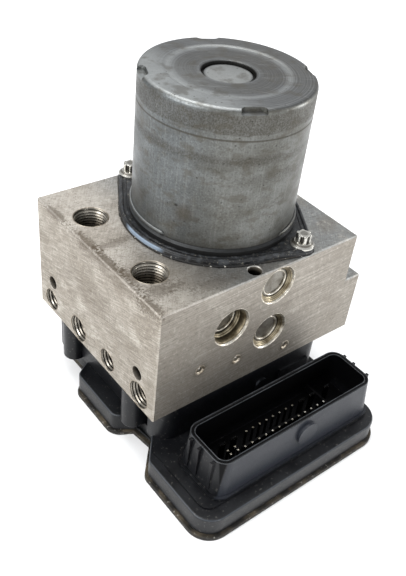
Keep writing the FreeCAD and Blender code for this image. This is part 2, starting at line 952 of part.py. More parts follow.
def can_shell():
    """The drawn can: wall, foot, domed top with a bearing pocket."""
    foot_top = plate_top + can_foot_height
    outer = turned([
        (0.0, plate_top),
        (can_foot_r, plate_top),
        (can_foot_r, foot_top - can_foot_taper),
        (can_r, foot_top),
        (can_r, can_top),
        (0.0, can_top),
    ])
    rim = edges_where(outer, lambda p: abs(p.z - can_top) < 0.01 and
                      math.hypot(p.x, p.y) > can_r - 0.1)
    outer = outer.makeFillet(can_edge_radius, rim)
    step = turned([
        (0.0, can_top - can_top_step),
        (can_top_step_r - can_top_step_run, can_top - can_top_step),
        (can_top_step_r, can_top),
        (can_top_step_r, can_top + overcut),
        (0.0, can_top + overcut),
    ])
    floor = can_top - can_top_step - bearing_pocket_depth
    pocket = turned([
        (0.0, floor),
        (bearing_pocket_r - bearing_groove - bearing_groove_break, floor),
        (bearing_pocket_r - bearing_groove, floor - bearing_groove_break),
        (bearing_pocket_r - bearing_groove, floor - bearing_groove),
        (bearing_pocket_r, floor - bearing_groove),
        (bearing_pocket_r, can_top - can_top_step - bearing_mouth_rise),
        (bearing_pocket_r + bearing_mouth_run, can_top - can_top_step),
        (bearing_pocket_r + bearing_mouth_run, can_top),
        (0.0, can_top),
    ])
    return outer.cut(step).cut(pocket)


def can_inside():
    """The space inside the can, less the boss that holds the upper bearing."""
    ceiling = can_top - scallop_depth - can_wall
    space = rod(can_inner_r, ceiling - plate_top, (0, 0, plate_top))
    boss_r = bearing_r + hub_wall
    boss_bottom = upper_bearing_bottom
    boss = rod(boss_r, ceiling - boss_bottom, (0, 0, boss_bottom))
    bearing_seat = rod(bearing_r, bearing_height, (0, 0, boss_bottom))
    return space.cut(boss).fuse(bearing_seat)


def motor_can():
    """The motor's steel can."""
    body = can_shell().cut(can_inside())
    for index in range(scallop_count):
        body = body.cut(scallop(index))
    return body


def motor_screw(place):
    """A flange screw with a lobed head."""
    flange = Part.makeCone(screw_flange_r, screw_head_r, screw_flange_height,
                           vec(place.x, place.y, plate_top + screw_washer_height))
    washer = rod(screw_flange_r, screw_washer_height, (place.x, place.y, plate_top))
    head_bottom = plate_top + screw_washer_height
    core = rod(screw_core_r, screw_head_height, (place.x, place.y, head_bottom))
    lobes = []
    for i in range(screw_lobes):
        centre = vec(place.x, place.y, head_bottom)
        centre = centre + on_circle(screw_lobe_circle_r, i * 360.0 / screw_lobes, 0.0)
        lobes.append(Part.makeCylinder(screw_lobe_r, screw_head_height, centre))
    shank = rod(screw_shank_r, screw_length + plate_top - block_top,
                (place.x, place.y, block_top - screw_length))
    head = fused([core] + lobes)
    top = edges_where(head, lambda p: p.z > head_bottom + screw_head_height - 0.01)
    head = head.makeChamfer(screw_edge_break, top)
    return fused([washer, flange, head, shank])


def motor_screws():
    """Both screws, each a solid of its own."""
    return Part.makeCompound([motor_screw(place) for place in screw_places()])


def magnet(side):
    """One arched magnet against the can's wall."""
    outer = can_inner_r
    middle = (core_bottom + core_top) / 2.0
    bottom = middle - magnet_height / 2.0
    ring = tube(outer, outer - magnet_thickness, magnet_height, (0, 0, bottom))
    wedge = Part.makeCylinder(can_r, magnet_height, vec(0, 0, bottom), Z_AXIS, magnet_span)
    wedge.rotate(vec(0, 0, 0), Z_AXIS, 90.0 * (1 - side) - magnet_span / 2.0)
    return ring.common(wedge)


def bearing_outer(bottom):
    """A ball bearing's outer race."""
    return tube(bearing_r, bearing_r - bearing_race, bearing_height, (0, 0, bottom))


def bearing_inner(bottom):
    """A ball bearing's inner race, with its caged balls as one full ring."""
    outer = bearing_r - bearing_race - running_clearance
    return tube(outer, shaft_r, bearing_height, (0, 0, bottom))


def brush_axis_z():
    """The height of the brushes' middle, on the commutator."""
    return (commutator_bottom + commutator_top) / 2.0


def brush(side):
    """A carbon brush that points at the commutator."""
    start = commutator_r + brush_gap
    x0, x1 = sorted((side * start, side * (start + brush_length)))
    z = brush_axis_z()
    body = box(x0, x1, -brush_width / 2.0, brush_width / 2.0,
               z - brush_height / 2.0, z + brush_height / 2.0)
    face = rod(start, brush_height, (0, 0, z - brush_height / 2.0))
    return body.cut(face)


def brush_spring(side):
    """The spring behind a brush."""
    start = commutator_r + brush_gap + brush_length
    return coil_spring(brush_spring_r, brush_spring_wire, brush_spring_turns,
                       brush_spring_length, (side * start, 0, brush_axis_z()),
                       X_AXIS * side)


def brush_holder():
    """The moulded ring that carries both brush boxes."""
    ring = tube(can_inner_r - holder_clearance, bearing_r + hub_wall + 2.0 * holder_clearance,
                holder_thickness, (0, 0, holder_bottom))
    shapes = [ring]
    z = brush_axis_z()
    box_start = commutator_r + brush_box_gap
    spring_end = commutator_r + brush_gap + brush_length + brush_spring_length
    box_end = spring_end + brush_box_wall
    half_y = brush_width / 2.0 + brush_box_wall
    box_top = z + brush_height / 2.0 + brush_box_wall
    for side in (-1, 1):
        x0, x1 = sorted((side * box_start, side * box_end))
        shapes.append(box(x0, x1, -half_y, half_y, holder_bottom, box_top))
    foot_height = holder_bottom - plate_top
    for angle in holder_post_angles:
        post = on_circle(can_inner_r - holder_post_inset, angle, plate_top)
        shapes.append(Part.makeCylinder(holder_post_r, foot_height, post))
    body = fused(shapes)
    for side in (-1, 1):
        x0, x1 = sorted((side * (box_start - overcut), side * spring_end))
        body = body.cut(box(x0, x1, -brush_width / 2.0, brush_width / 2.0,
                            z - brush_height / 2.0, z + brush_height / 2.0))
    for y in (-lead_pin_spread, lead_pin_spread):
        body = body.cut(rod(lead_pin_r + pin_clearance, holder_thickness,
                            (lead_x, y, holder_bottom)))
    return body


def lead_insulator():
    """The sleeve that brings the motor's supply down through the block."""
    top = holder_bottom
    body = rod(lead_r, top - lead_end_height, (lead_x, 0, lead_end_height))
    for y in (-lead_pin_spread, lead_pin_spread):
        body = body.cut(rod(lead_pin_r, top - lead_end_height, (lead_x, y, lead_end_height)))
    return body


def lead_pins():
    """The two supply pins, from the board to the brush holder."""
    top = holder_bottom + holder_thickness / 2.0
    return Part.makeCompound([rod(lead_pin_r, top - board_top, (lead_x, y, board_top))
                              for y in (-lead_pin_spread, lead_pin_spread)])


def rotor_shaft():
    """Shaft, eccentric journal and tail pin, turned as one."""
    ring_middle = pump_z
    journal_bottom = ring_middle - eccentric_length / 2.0
    journal_top = ring_middle + eccentric_length / 2.0
    shaft = rod(shaft_r, shaft_top - journal_top, (0, 0, journal_top))
    journal = rod(eccentric_r, eccentric_length, (0, eccentric_throw, journal_bottom))
    tail_bottom = block_top - pocket_depth - tail_length + tail_end_gap
    tail = rod(tail_r, journal_bottom - tail_bottom, (0, 0, tail_bottom))
    return fused([shaft, journal, tail])


def eccentric_ring():
    """The needle bearing's outer ring round the eccentric."""
    inner = eccentric_r + running_clearance
    return tube(eccentric_r + ring_wall, inner, ring_length,
                (0, eccentric_throw, pump_z - ring_length / 2.0))


def slot_bar(index, grow):
    """The space of one armature slot."""
    bar = box(slot_bottom_r, core_r + grow, -slot_width / 2.0, slot_width / 2.0,
              core_bottom - grow, core_top + grow)
    bar.rotate(vec(0, 0, 0), Z_AXIS, index * 360.0 / core_slots)
    return bar


def armature_core():
    """The laminated core, slotted for the windings."""
    core = rod(core_r, core_height, (0, 0, core_bottom))
    core = core.cut(rod(shaft_r, core_height, (0, 0, core_bottom)))
    for index in range(core_slots):
        core = core.cut(slot_bar(index, overcut))
    return core


def winding_ring(bottom):
    """The rounded bundle of wire ends at one end of the core."""
    ring = tube(slot_fill_r, winding_inner_r, winding_height, (0, 0, bottom))
    outer = edges_where(ring, lambda p: math.hypot(p.x, p.y) > slot_fill_r - 0.1 and
                        min(abs(p.z - bottom), abs(p.z - bottom - winding_height)) < 0.01)
    return ring.makeFillet(winding_edge_radius, outer)


def armature_windings():
    """Both end bundles joined by the wire in the slots."""
    shapes = [winding_ring(winding_bottom), winding_ring(core_top)]
    limit = rod(slot_fill_r - winding_edge_radius, core_height, (0, 0, core_bottom))
    for index in range(core_slots):
        shapes.append(slot_bar(index, 0.0).common(limit))
    return fused(shapes)


def commutator():
    """The slotted copper drum that the brushes touch."""
    drum = tube(commutator_r, shaft_r, commutator_height, (0, 0, commutator_bottom))
    for index in range(core_slots):
        cut = box(commutator_r - commutator_slot_depth, commutator_r + overcut,
                  -commutator_slot / 2.0, commutator_slot / 2.0,
                  commutator_bottom - overcut, commutator_top + overcut)
        cut.rotate(vec(0, 0, 0), Z_AXIS, (index + 0.5) * 360.0 / core_slots)
        drum = drum.cut(cut)
    return drum


# Control unit

def flange_corners():
    """Outline of the pan's flange, anticlockwise from the front left corner."""
    lobe = block_left - lobe_proud
    bite = block_left + bite_depth
    start = block_front + front_bite_start
    end = block_front + front_bite_end
    back_start = block_front + back_bite_start
    return [
        (pan_left, pan_front, pan_corner_r),
        (pan_right, pan_front, pan_front_right_r),
        (pan_right, pan_back, pan_back_right_r),
        (bite, pan_back, pan_corner_r),
        (bite, back_start + back_bite_run, bite_r),
        (lobe, back_start - bite_r, bite_r),
        (lobe, end + bite_r, bite_r + bite_small_r),
        (bite - front_bite_flare, end, bite_small_r),
        (bite, start + front_bite_run, bite_small_r),
        (pan_left, start, bite_r),
    ]


def upper_corners():
    """Outline of the pan's upper wall, with its two bites on the left."""
    lobe = block_left - lobe_proud
    front = block_front + upper_bite_front
    back = block_front + upper_bite_back
    back_start = block_front + back_bite_start
    start = block_front + front_bite_start
    bite = block_left + bite_depth
    back_wall = bite + upper_back_inset
    return [
        (pan_left, pan_front, pan_corner_r),
        (pan_right, pan_front, pan_front_right_r),
        (pan_right, pan_back, pan_back_right_r),
        (back_wall, pan_back, pan_corner_r),
        (back_wall, back_start + bite_r, bite_small_r),
        (lobe, back_start - upper_back_rise, bite_r),
        (lobe, back + upper_side_gap, bite_r),
        (bite, back, bite_small_r),
        (bite, front, bite_small_r),
        (pan_left, start, bite_r),
    ]


def lid_corners():
    """Outline of the lid, proud of the pan's flange all round."""
    return inset(flange_corners(), -lid_proud)


def pan_outer():
    """The pan's outside: low flange plate and upper wall with a soft top edge."""
    low = slab(flange_corners(), pan_bottom, pan_bottom + pan_flange)
    high = slab(upper_corners(), pan_bottom, deck_top)
    rim = edges_where(high, lambda p: abs(p.z - deck_top) < 0.01)
    high = high.makeFillet(deck_edge_radius, rim)
    return fused([low, high])


def coil_box_corners():
    """Outline of the raised box round the coils."""
    return rectangle(coil_left, coil_right, coil_front, coil_back, coil_box_corner_r)


def recess_sides():
    """The recess's right side, front and back: it ends at the front column's front."""
    return (block_left + recess_left_wall, block_front + recess_front,
            block_front + column_from_front[0] - column_r)


def recess_space(grow):
    """The recess beside the front column, from the columns' feet up, grown by a wall if asked."""
    right, front, back = recess_sides()
    left = pan_left - lid_proud - overcut
    corners = [(left, front - grow, least_corner_r), (right + grow, front - grow, recess_r + grow),
               (right + grow, back + grow, recess_r + grow), (left, back + grow, least_corner_r)]
    return slab(corners, column_foot_height - grow, block_bottom + overcut)


def rim_corners():
    """The coil box's outline with the recess's notch in its left side."""
    right, front, back = recess_sides()
    return coil_box_corners() + [(coil_left, back, recess_mouth_r), (right, back, recess_r),
                                 (right, front, recess_r), (coil_left, front, recess_mouth_r)]


def side_columns():
    """The two round columns under the block's left edge, flat in front, webbed to the coil box."""
    shapes = []
    foot = column_foot_height
    for from_front in column_from_front:
        y = block_front + from_front
        column = rod(column_r, block_bottom - foot, (column_x, y, foot))
        rim = edges_where(column, lambda p: abs(p.z - column_foot_height) < 0.01)
        shapes.append(column.makeFillet(column_edge_radius, rim))
        shapes.append(box(column_x, coil_left + coil_box_wall, y - column_r,
                          y + column_web_half, foot + column_edge_radius, block_bottom))
    return shapes


def shroud_corners(height, shrink):
    """Outline of the shroud at a height above its foot, less a wall if asked."""
    lean = shroud_draft * height / shroud_height + shrink
    return rectangle(shroud_left + lean, shroud_right - lean, shroud_front + lean,
                     shroud_back - lean, shroud_corner_r - shrink)


def shroud_loft(shrink, z0, z1):
    """A drafted rounded box between two heights."""
    low = rounded_wire(shroud_corners(z0 - platform_top, shrink), z0)
    high = rounded_wire(shroud_corners(z1 - platform_top, shrink), z1)
    return Part.makeLoft([low, high], True, True)


def shroud_ribs():
    """Upright ribs on the shroud's two ends."""
    shapes = []
    top = shroud_top - shroud_rib_top_gap
    for from_front in shroud_rib_from_front:
        y = block_front - from_front
        y0 = y - shroud_rib_width / 2.0
        y1 = y + shroud_rib_width / 2.0
        inner = shroud_draft + shroud_wall / 2.0
        shapes.append(box(shroud_left - shroud_rib_depth + shroud_draft / 2.0,
                          shroud_left + inner, y0, y1, top - shroud_rib_length, top))
        shapes.append(box(shroud_right - inner,
                          shroud_right + shroud_rib_depth - shroud_draft / 2.0,
                          y0, y1, top - shroud_rib_length, top))
    return shapes


def shroud_button():
    """The round boss on the shroud's front wall."""
    x = block_left + shroud_button_from_left
    z = shroud_top - shroud_button_drop
    lean = shroud_draft * (z - platform_top) / shroud_height
    y = shroud_front + lean + shroud_wall / 2.0
    return rod(shroud_button_r, shroud_button_height + shroud_wall / 2.0, (x, y, z), Y_AXIS * -1)


def shroud_outer():
    """The shroud's outside, its foot, ribs and button."""
    foot = slab(rectangle(shroud_left - shroud_foot, shroud_right + shroud_foot,
                          shroud_front - shroud_foot, shroud_back + shroud_foot,
                          shroud_corner_r + shroud_foot),
                deck_top - deck_thickness / 2.0, platform_top + shroud_foot_height)
    body = shroud_loft(0.0, deck_top - deck_thickness / 2.0, shroud_top)
    return [foot, body, shroud_button()] + shroud_ribs()


def shroud_partitions():
    """Low walls on the shroud's floor, across its ends and between the pin rows."""
    shapes = []
    z0 = platform_top - deck_step
    z1 = platform_top + partition_height
    half = partition_thickness / 2.0
    y0 = shroud_front + shroud_wall
    y1 = shroud_back - shroud_wall
    for from_left in partition_from_left:
        x = block_left + from_left
        shapes.append(box(x - half, x + half, y0, y1, z0, z1))
    y = block_front - (front_row_inset + back_row_inset) / 2.0
    x0 = block_left + blade_from_left[2] + blade_width
    x1 = block_left + blade_from_left[3] - blade_width
    shapes.append(box(x0, x1, y - half, y + half, z0, z1))
    return shapes


def front_wall_marks():
    """A half-round boss and a ledge on the coil box's front wall."""
    y0 = coil_front - wall_mark_proud
    y1 = coil_front + wall_mark_bite
    x = block_left + wall_boss_from_left
    z = block_bottom - wall_boss_drop
    boss = rod(wall_boss_r, y1 - y0, (x, y1, z), Y_AXIS * -1)
    skirt = box(x - wall_boss_r, x + wall_boss_r, y0, y1, deck_top, z)
    ledge = box(block_left + wall_ledge_from_left, coil_right - coil_box_corner_r, y0, y1,
                deck_top, block_bottom - wall_ledge_drop)
    return [boss, skirt, ledge]


def housing_inside():
    """The hollow of pan and coil box, with a shelf between them and walls round the recess."""
    ceiling = deck_top - deck_thickness
    pan_space = slab(inset(upper_corners(), pan_wall), pan_bottom - overcut, ceiling)
    coil_outline = inset(coil_box_corners(), coil_box_wall)
    throat = slab(coil_outline, ceiling, deck_top)
    throat = throat.common(slab(inset(upper_corners(), pan_wall), ceiling, deck_top))
    coil_space = slab(coil_outline, deck_top, block_bottom + overcut)
    return fused([pan_space, throat, coil_space]).cut(recess_space(coil_box_wall))


def screw_bosses():
    """Posts grown from the coil box walls that the fixing screws pass through."""
    height = block_bottom - unit_screw_seat
    return [rod(unit_screw_head_r + post_wall, height, (x, y, unit_screw_seat))
            for x, y in unit_screw_places()]


def pin_boxes(clearance):
    """Every signal pin as a square bar, from the board up into the shroud."""
    half = pin_side / 2.0 + clearance
    z0 = board_top
    z1 = platform_top + pin_height
    places = []
    for i in range(front_row_count):
        places.append((front_row_start + i * pin_pitch, front_row_inset))
    for i in range(back_row_count):
        places.append((back_row_start + i * pin_pitch, back_row_inset))
    for from_left in pair_from_left:
        for side in (-1, 1):
            places.append((from_left, pair_inset + side * pair_spread))
    bars = []
    for from_left, from_front in places:
        x = block_left + from_left
        y = block_front - from_front
        bars.append(box(x - half, x + half, y - half, y + half, z0, z1))
    return bars


def blade_boxes(clearance):
    """Every power blade as a flat bar."""
    half_x = blade_width / 2.0 + clearance
    half_y = blade_thickness / 2.0 + clearance
    y = block_front - back_row_inset
    z1 = platform_top + blade_height
    bars = []
    for from_left in blade_from_left:
        x = block_left + from_left
        bars.append(box(x - half_x, x + half_x, y - half_y, y + half_y, board_top, z1))
    return bars


def seal_ring(top):
    """The ring in the coil box's rim, from the seal groove's floor up to top."""
    bottom = block_bottom - unit_seal_thickness
    outer = slab(inset(rim_corners(), unit_seal_inset), bottom, top)
    inner = slab(inset(rim_corners(), unit_seal_inset + unit_seal_width), bottom, top)
    return outer.cut(inner)


def deck_platform():
    """The slightly raised deck that the shroud stands on, kept inside the pan's front bite."""
    bottom = deck_top - deck_thickness / 2.0
    platform = slab(rectangle(pan_left + pan_left_proud + platform_left_inset,
                              pan_right - platform_right_inset,
                              pan_front + platform_front_inset,
                              coil_front + coil_box_corner_r, platform_corner_r),
                    bottom, platform_top)
    return platform.common(slab(inset(upper_corners(), platform_bite_inset), bottom, platform_top))


def coil_box():
    """The raised box round the coils, and its skirt down to the flange at the back."""
    upper = slab(coil_box_corners(), column_foot_height, block_bottom)
    skirt = slab(rectangle(coil_left, coil_right, block_front + back_bite_start, coil_back,
                           coil_box_corner_r), pan_bottom + pan_flange, deck_top)
    return [upper, skirt]


def ecu_housing():
    """The moulded housing: pan, deck, coil box, columns and plug shroud."""
    outside = fused([pan_outer(), deck_platform()] + coil_box() + side_columns() +
                    shroud_outer() + front_wall_marks())
    shroud_space = shroud_loft(shroud_wall, platform_top, shroud_top + overcut)
    body = outside.cut(housing_inside()).cut(recess_space(0.0)).cut(shroud_space)
    body = fused([body] + screw_bosses() + shroud_partitions())
    cuts = pin_boxes(pin_clearance) + blade_boxes(pin_clearance)
    for x, y in unit_screw_places():
        cuts.append(rod(unit_screw_r + screw_clearance, block_height, (x, y, pan_bottom)))
        cuts.append(rod(unit_screw_head_r + screw_clearance, unit_screw_head_height,
                        (x, y, unit_screw_seat)))
    cuts.append(seal_ring(block_bottom + overcut))
    return body.cut(Part.makeCompound(cuts)).removeSplitter()


def lid_seam():
    """The bead of sealant between the pan and its lid."""
    outer = slab(inset(upper_corners(), seam_inset), seam_bottom, pan_bottom)
    inner = slab(inset(upper_corners(), pan_wall), seam_bottom, pan_bottom)
    return outer.cut(inner)


def ecu_lid():
    """The flat plate that closes the pan and that the unit rests on."""
    plate = slab(lid_corners(), 0.0, lid_thickness)
    rims = edges_where(plate, lambda p: abs(p.z - lid_thickness) < 0.01 or abs(p.z) < 0.01)
    return plate.makeFillet(lid_edge_radius, rims)


def circuit_board():
    """The board under the coils and the pins."""
    x0 = block_left + board_left_inset
    x1 = pan_right - pan_wall - board_clearance
    y0 = pan_front + pan_wall + board_clearance
    y1 = pan_back - pan_wall - board_clearance
    return slab(rectangle(x0, x1, y0, y1, pan_corner_r), board_bottom, board_top)


def unit_screw(place):
    """A fixing screw, driven from below through the coil box into the block."""
    x, y = place
    seat = unit_screw_seat + unit_screw_head_height
    head = rod(unit_screw_head_r, unit_screw_head_height, (x, y, unit_screw_seat))
    socket = rod(unit_screw_r, unit_screw_socket, (x, y, unit_screw_seat))
    shank = rod(unit_screw_r, block_bottom + unit_screw_reach - seat, (x, y, seat))
    return fused([head.cut(socket), shank])


def build():
    """Write every node of the unit."""
    write("valve_block", valve_block())
    for side, name in ((-1, "front"), (1, "rear")):
        write("pump_cap_" + name, bore_cap(0.0, pump_z, side, cap_inset))
        write("accumulator_cap_" + name, bore_cap(0.0, accumulator_z, side, cap_inset))
        write("damper_cap_" + name, bore_cap(damper_x, damper_z, side, damper_cap_inset))
        write("pump_sleeve_" + name, pump_sleeve(side))
        write("pump_piston_" + name, pump_piston(side))
        write("pump_spring_" + name, pump_spring(side))
        write("accumulator_piston_" + name, accumulator_piston(side))
        write("accumulator_spring_" + name, accumulator_spring(side))
    write("ball_plugs", ball_plugs())
    for column, name, is_inlet in ((inlet_x, "inlet", True), (outlet_x, "outlet", False)):
        write(name + "_valve_bodies",
              Part.makeCompound([valve_body(column, y) for y in wheel_port_ys]))
        write(name + "_coils",
              Part.makeCompound([valve_coil(column, y) for y in wheel_port_ys]))
        for i, y in enumerate(wheel_port_ys):
            write(name + "_armature_" + str(i + 1), valve_armature(column, y, is_inlet))
    springs = [valve_spring(inlet_x, y, True) for y in wheel_port_ys]
    springs += [valve_spring(outlet_x, y, False) for y in wheel_port_ys]
    write("valve_springs", Part.makeCompound(springs))
    write("motor_gasket", motor_gasket())
    write("motor_end_plate", motor_end_plate())
    write("motor_can", motor_can())
    write("motor_screws", motor_screws())
    write("magnet_left", magnet(-1))
    write("magnet_right", magnet(1))
    lower_bearing_bottom = plate_bottom + plate_thickness / 2.0
    for name, bottom in (("lower", lower_bearing_bottom), ("upper", upper_bearing_bottom)):
        write(name + "_bearing_outer", bearing_outer(bottom))
        write(name + "_bearing_inner", bearing_inner(bottom))
    write("brush_holder", brush_holder())
    write("brush_left", brush(-1))
    write("brush_right", brush(1))
    write("brush_springs", Part.makeCompound([brush_spring(-1), brush_spring(1)]))
    write("motor_lead_insulator", lead_insulator())
    write("motor_lead_pins", lead_pins())
    write("rotor_shaft", rotor_shaft())
    write("eccentric_ring", eccentric_ring())
    write("armature_core", armature_core())
    write("armature_windings", armature_windings())
    write("commutator", commutator())
    write("ecu_housing", ecu_housing())
    write("ecu_seal", seal_ring(block_bottom))
    write("lid_seam", lid_seam())
    write("ecu_lid", ecu_lid())
    write("circuit_board", circuit_board())
    write("signal_pins", Part.makeCompound(pin_boxes(0.0)))
    write("power_blades", Part.makeCompound(blade_boxes(0.0)))
    write("ecu_screws", Part.makeCompound([unit_screw(p) for p in unit_screw_places()]))


os.makedirs("parts", exist_ok=True)
build()
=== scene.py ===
"""Looks of an anti-lock brake hydraulic unit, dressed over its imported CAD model.

The unit is a milled aluminium block with a zinc-plated pump motor on top and a
black moulded control unit below. Lengths here are millimetres in the part's own
frame, turned to metres when a mesh is written.
"""

import json
import logging
import math
from dataclasses import dataclass
from enum import Enum
from typing import Any, Optional, Sequence

import bpy
import numpy as np
from mathutils import Matrix, Vector

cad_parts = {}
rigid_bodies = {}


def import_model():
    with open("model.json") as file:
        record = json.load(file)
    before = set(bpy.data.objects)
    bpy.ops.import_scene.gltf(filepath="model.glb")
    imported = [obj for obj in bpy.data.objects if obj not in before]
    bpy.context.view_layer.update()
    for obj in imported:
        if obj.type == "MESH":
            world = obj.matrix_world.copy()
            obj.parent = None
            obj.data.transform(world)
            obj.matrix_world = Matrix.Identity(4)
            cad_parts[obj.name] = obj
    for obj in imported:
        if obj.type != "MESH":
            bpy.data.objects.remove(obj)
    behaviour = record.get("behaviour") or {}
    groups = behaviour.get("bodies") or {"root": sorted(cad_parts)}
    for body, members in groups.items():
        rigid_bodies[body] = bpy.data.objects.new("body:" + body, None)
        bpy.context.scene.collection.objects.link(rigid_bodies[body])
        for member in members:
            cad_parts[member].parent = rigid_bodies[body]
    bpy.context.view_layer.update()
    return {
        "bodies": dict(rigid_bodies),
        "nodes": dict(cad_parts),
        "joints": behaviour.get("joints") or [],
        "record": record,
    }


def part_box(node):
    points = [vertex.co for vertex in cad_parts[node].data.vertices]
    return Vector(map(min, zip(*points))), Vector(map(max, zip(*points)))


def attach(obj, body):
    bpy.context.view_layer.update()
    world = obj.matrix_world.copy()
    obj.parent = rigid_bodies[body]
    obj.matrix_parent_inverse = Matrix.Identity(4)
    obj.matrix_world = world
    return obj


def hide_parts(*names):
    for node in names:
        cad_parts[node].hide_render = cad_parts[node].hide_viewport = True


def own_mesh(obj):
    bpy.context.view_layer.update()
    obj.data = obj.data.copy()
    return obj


MM = 0.001
# Longer than anything here, in millimetres
FAR = 1e4
LOG = logging.getLogger("brake_unit")

Array = np.ndarray
Socket = bpy.types.NodeSocket
Linear = tuple[float, float, float, float]
Triple = tuple[float, float, float]
Edges = tuple[float, float, float, float]
Profile = tuple[tuple[float, ...], ...]

# Settings that many nodes share
TIMES = {"operation": "MULTIPLY"}
PLUS = {"operation": "ADD"}
TIMES_PLUS = {"operation": "MULTIPLY_ADD"}
LESS = {"operation": "SUBTRACT"}
LEAST = {"operation": "MINIMUM"}
MOST = {"operation": "MAXIMUM"}
SMOOTH = {"interpolation_type": "SMOOTHSTEP"}

# Name of the painted light that some meshes hold for each point, for their material to read
PAINTED_LIGHT = "ridge"
# Points on a ring that is turned about a bore
RING_SIDES = 96


class Slot(Enum):
    """Material slots of the record."""

    BLOCK = "block_aluminium"
    CAN = "can_steel"
    PLATE = "plate_steel"
    SCREW = "screw_steel"
    PLUG = "plug_steel"
    INNER_STEEL = "inner_steel"
    SPRING = "spring_steel"
    MAGNET = "magnet_ferrite"
    COPPER = "copper"
    CARBON = "carbon"
    PIN = "pin_metal"
    RUBBER = "seal_rubber"
    HOUSING = "housing_plastic"
    LID = "lid_plastic"
    INNER_PLASTIC = "inner_plastic"
    BOARD = "board"


def hex_to_linear(code: str) -> Linear:
    """Turns an sRGB hex colour to linear light.

    Args:
        code: Six hex digits.

    Returns:
        Linear red, green, blue and an alpha of one.
    """
    srgb = np.array([int(code[i:i + 2], 16) for i in (0, 2, 4)]) / 255.0
    linear = np.where(srgb <= 0.04045, srgb / 12.92, ((srgb + 0.055) / 1.055) ** 2.4)
    return (float(linear[0]), float(linear[1]), float(linear[2]), 1.0)


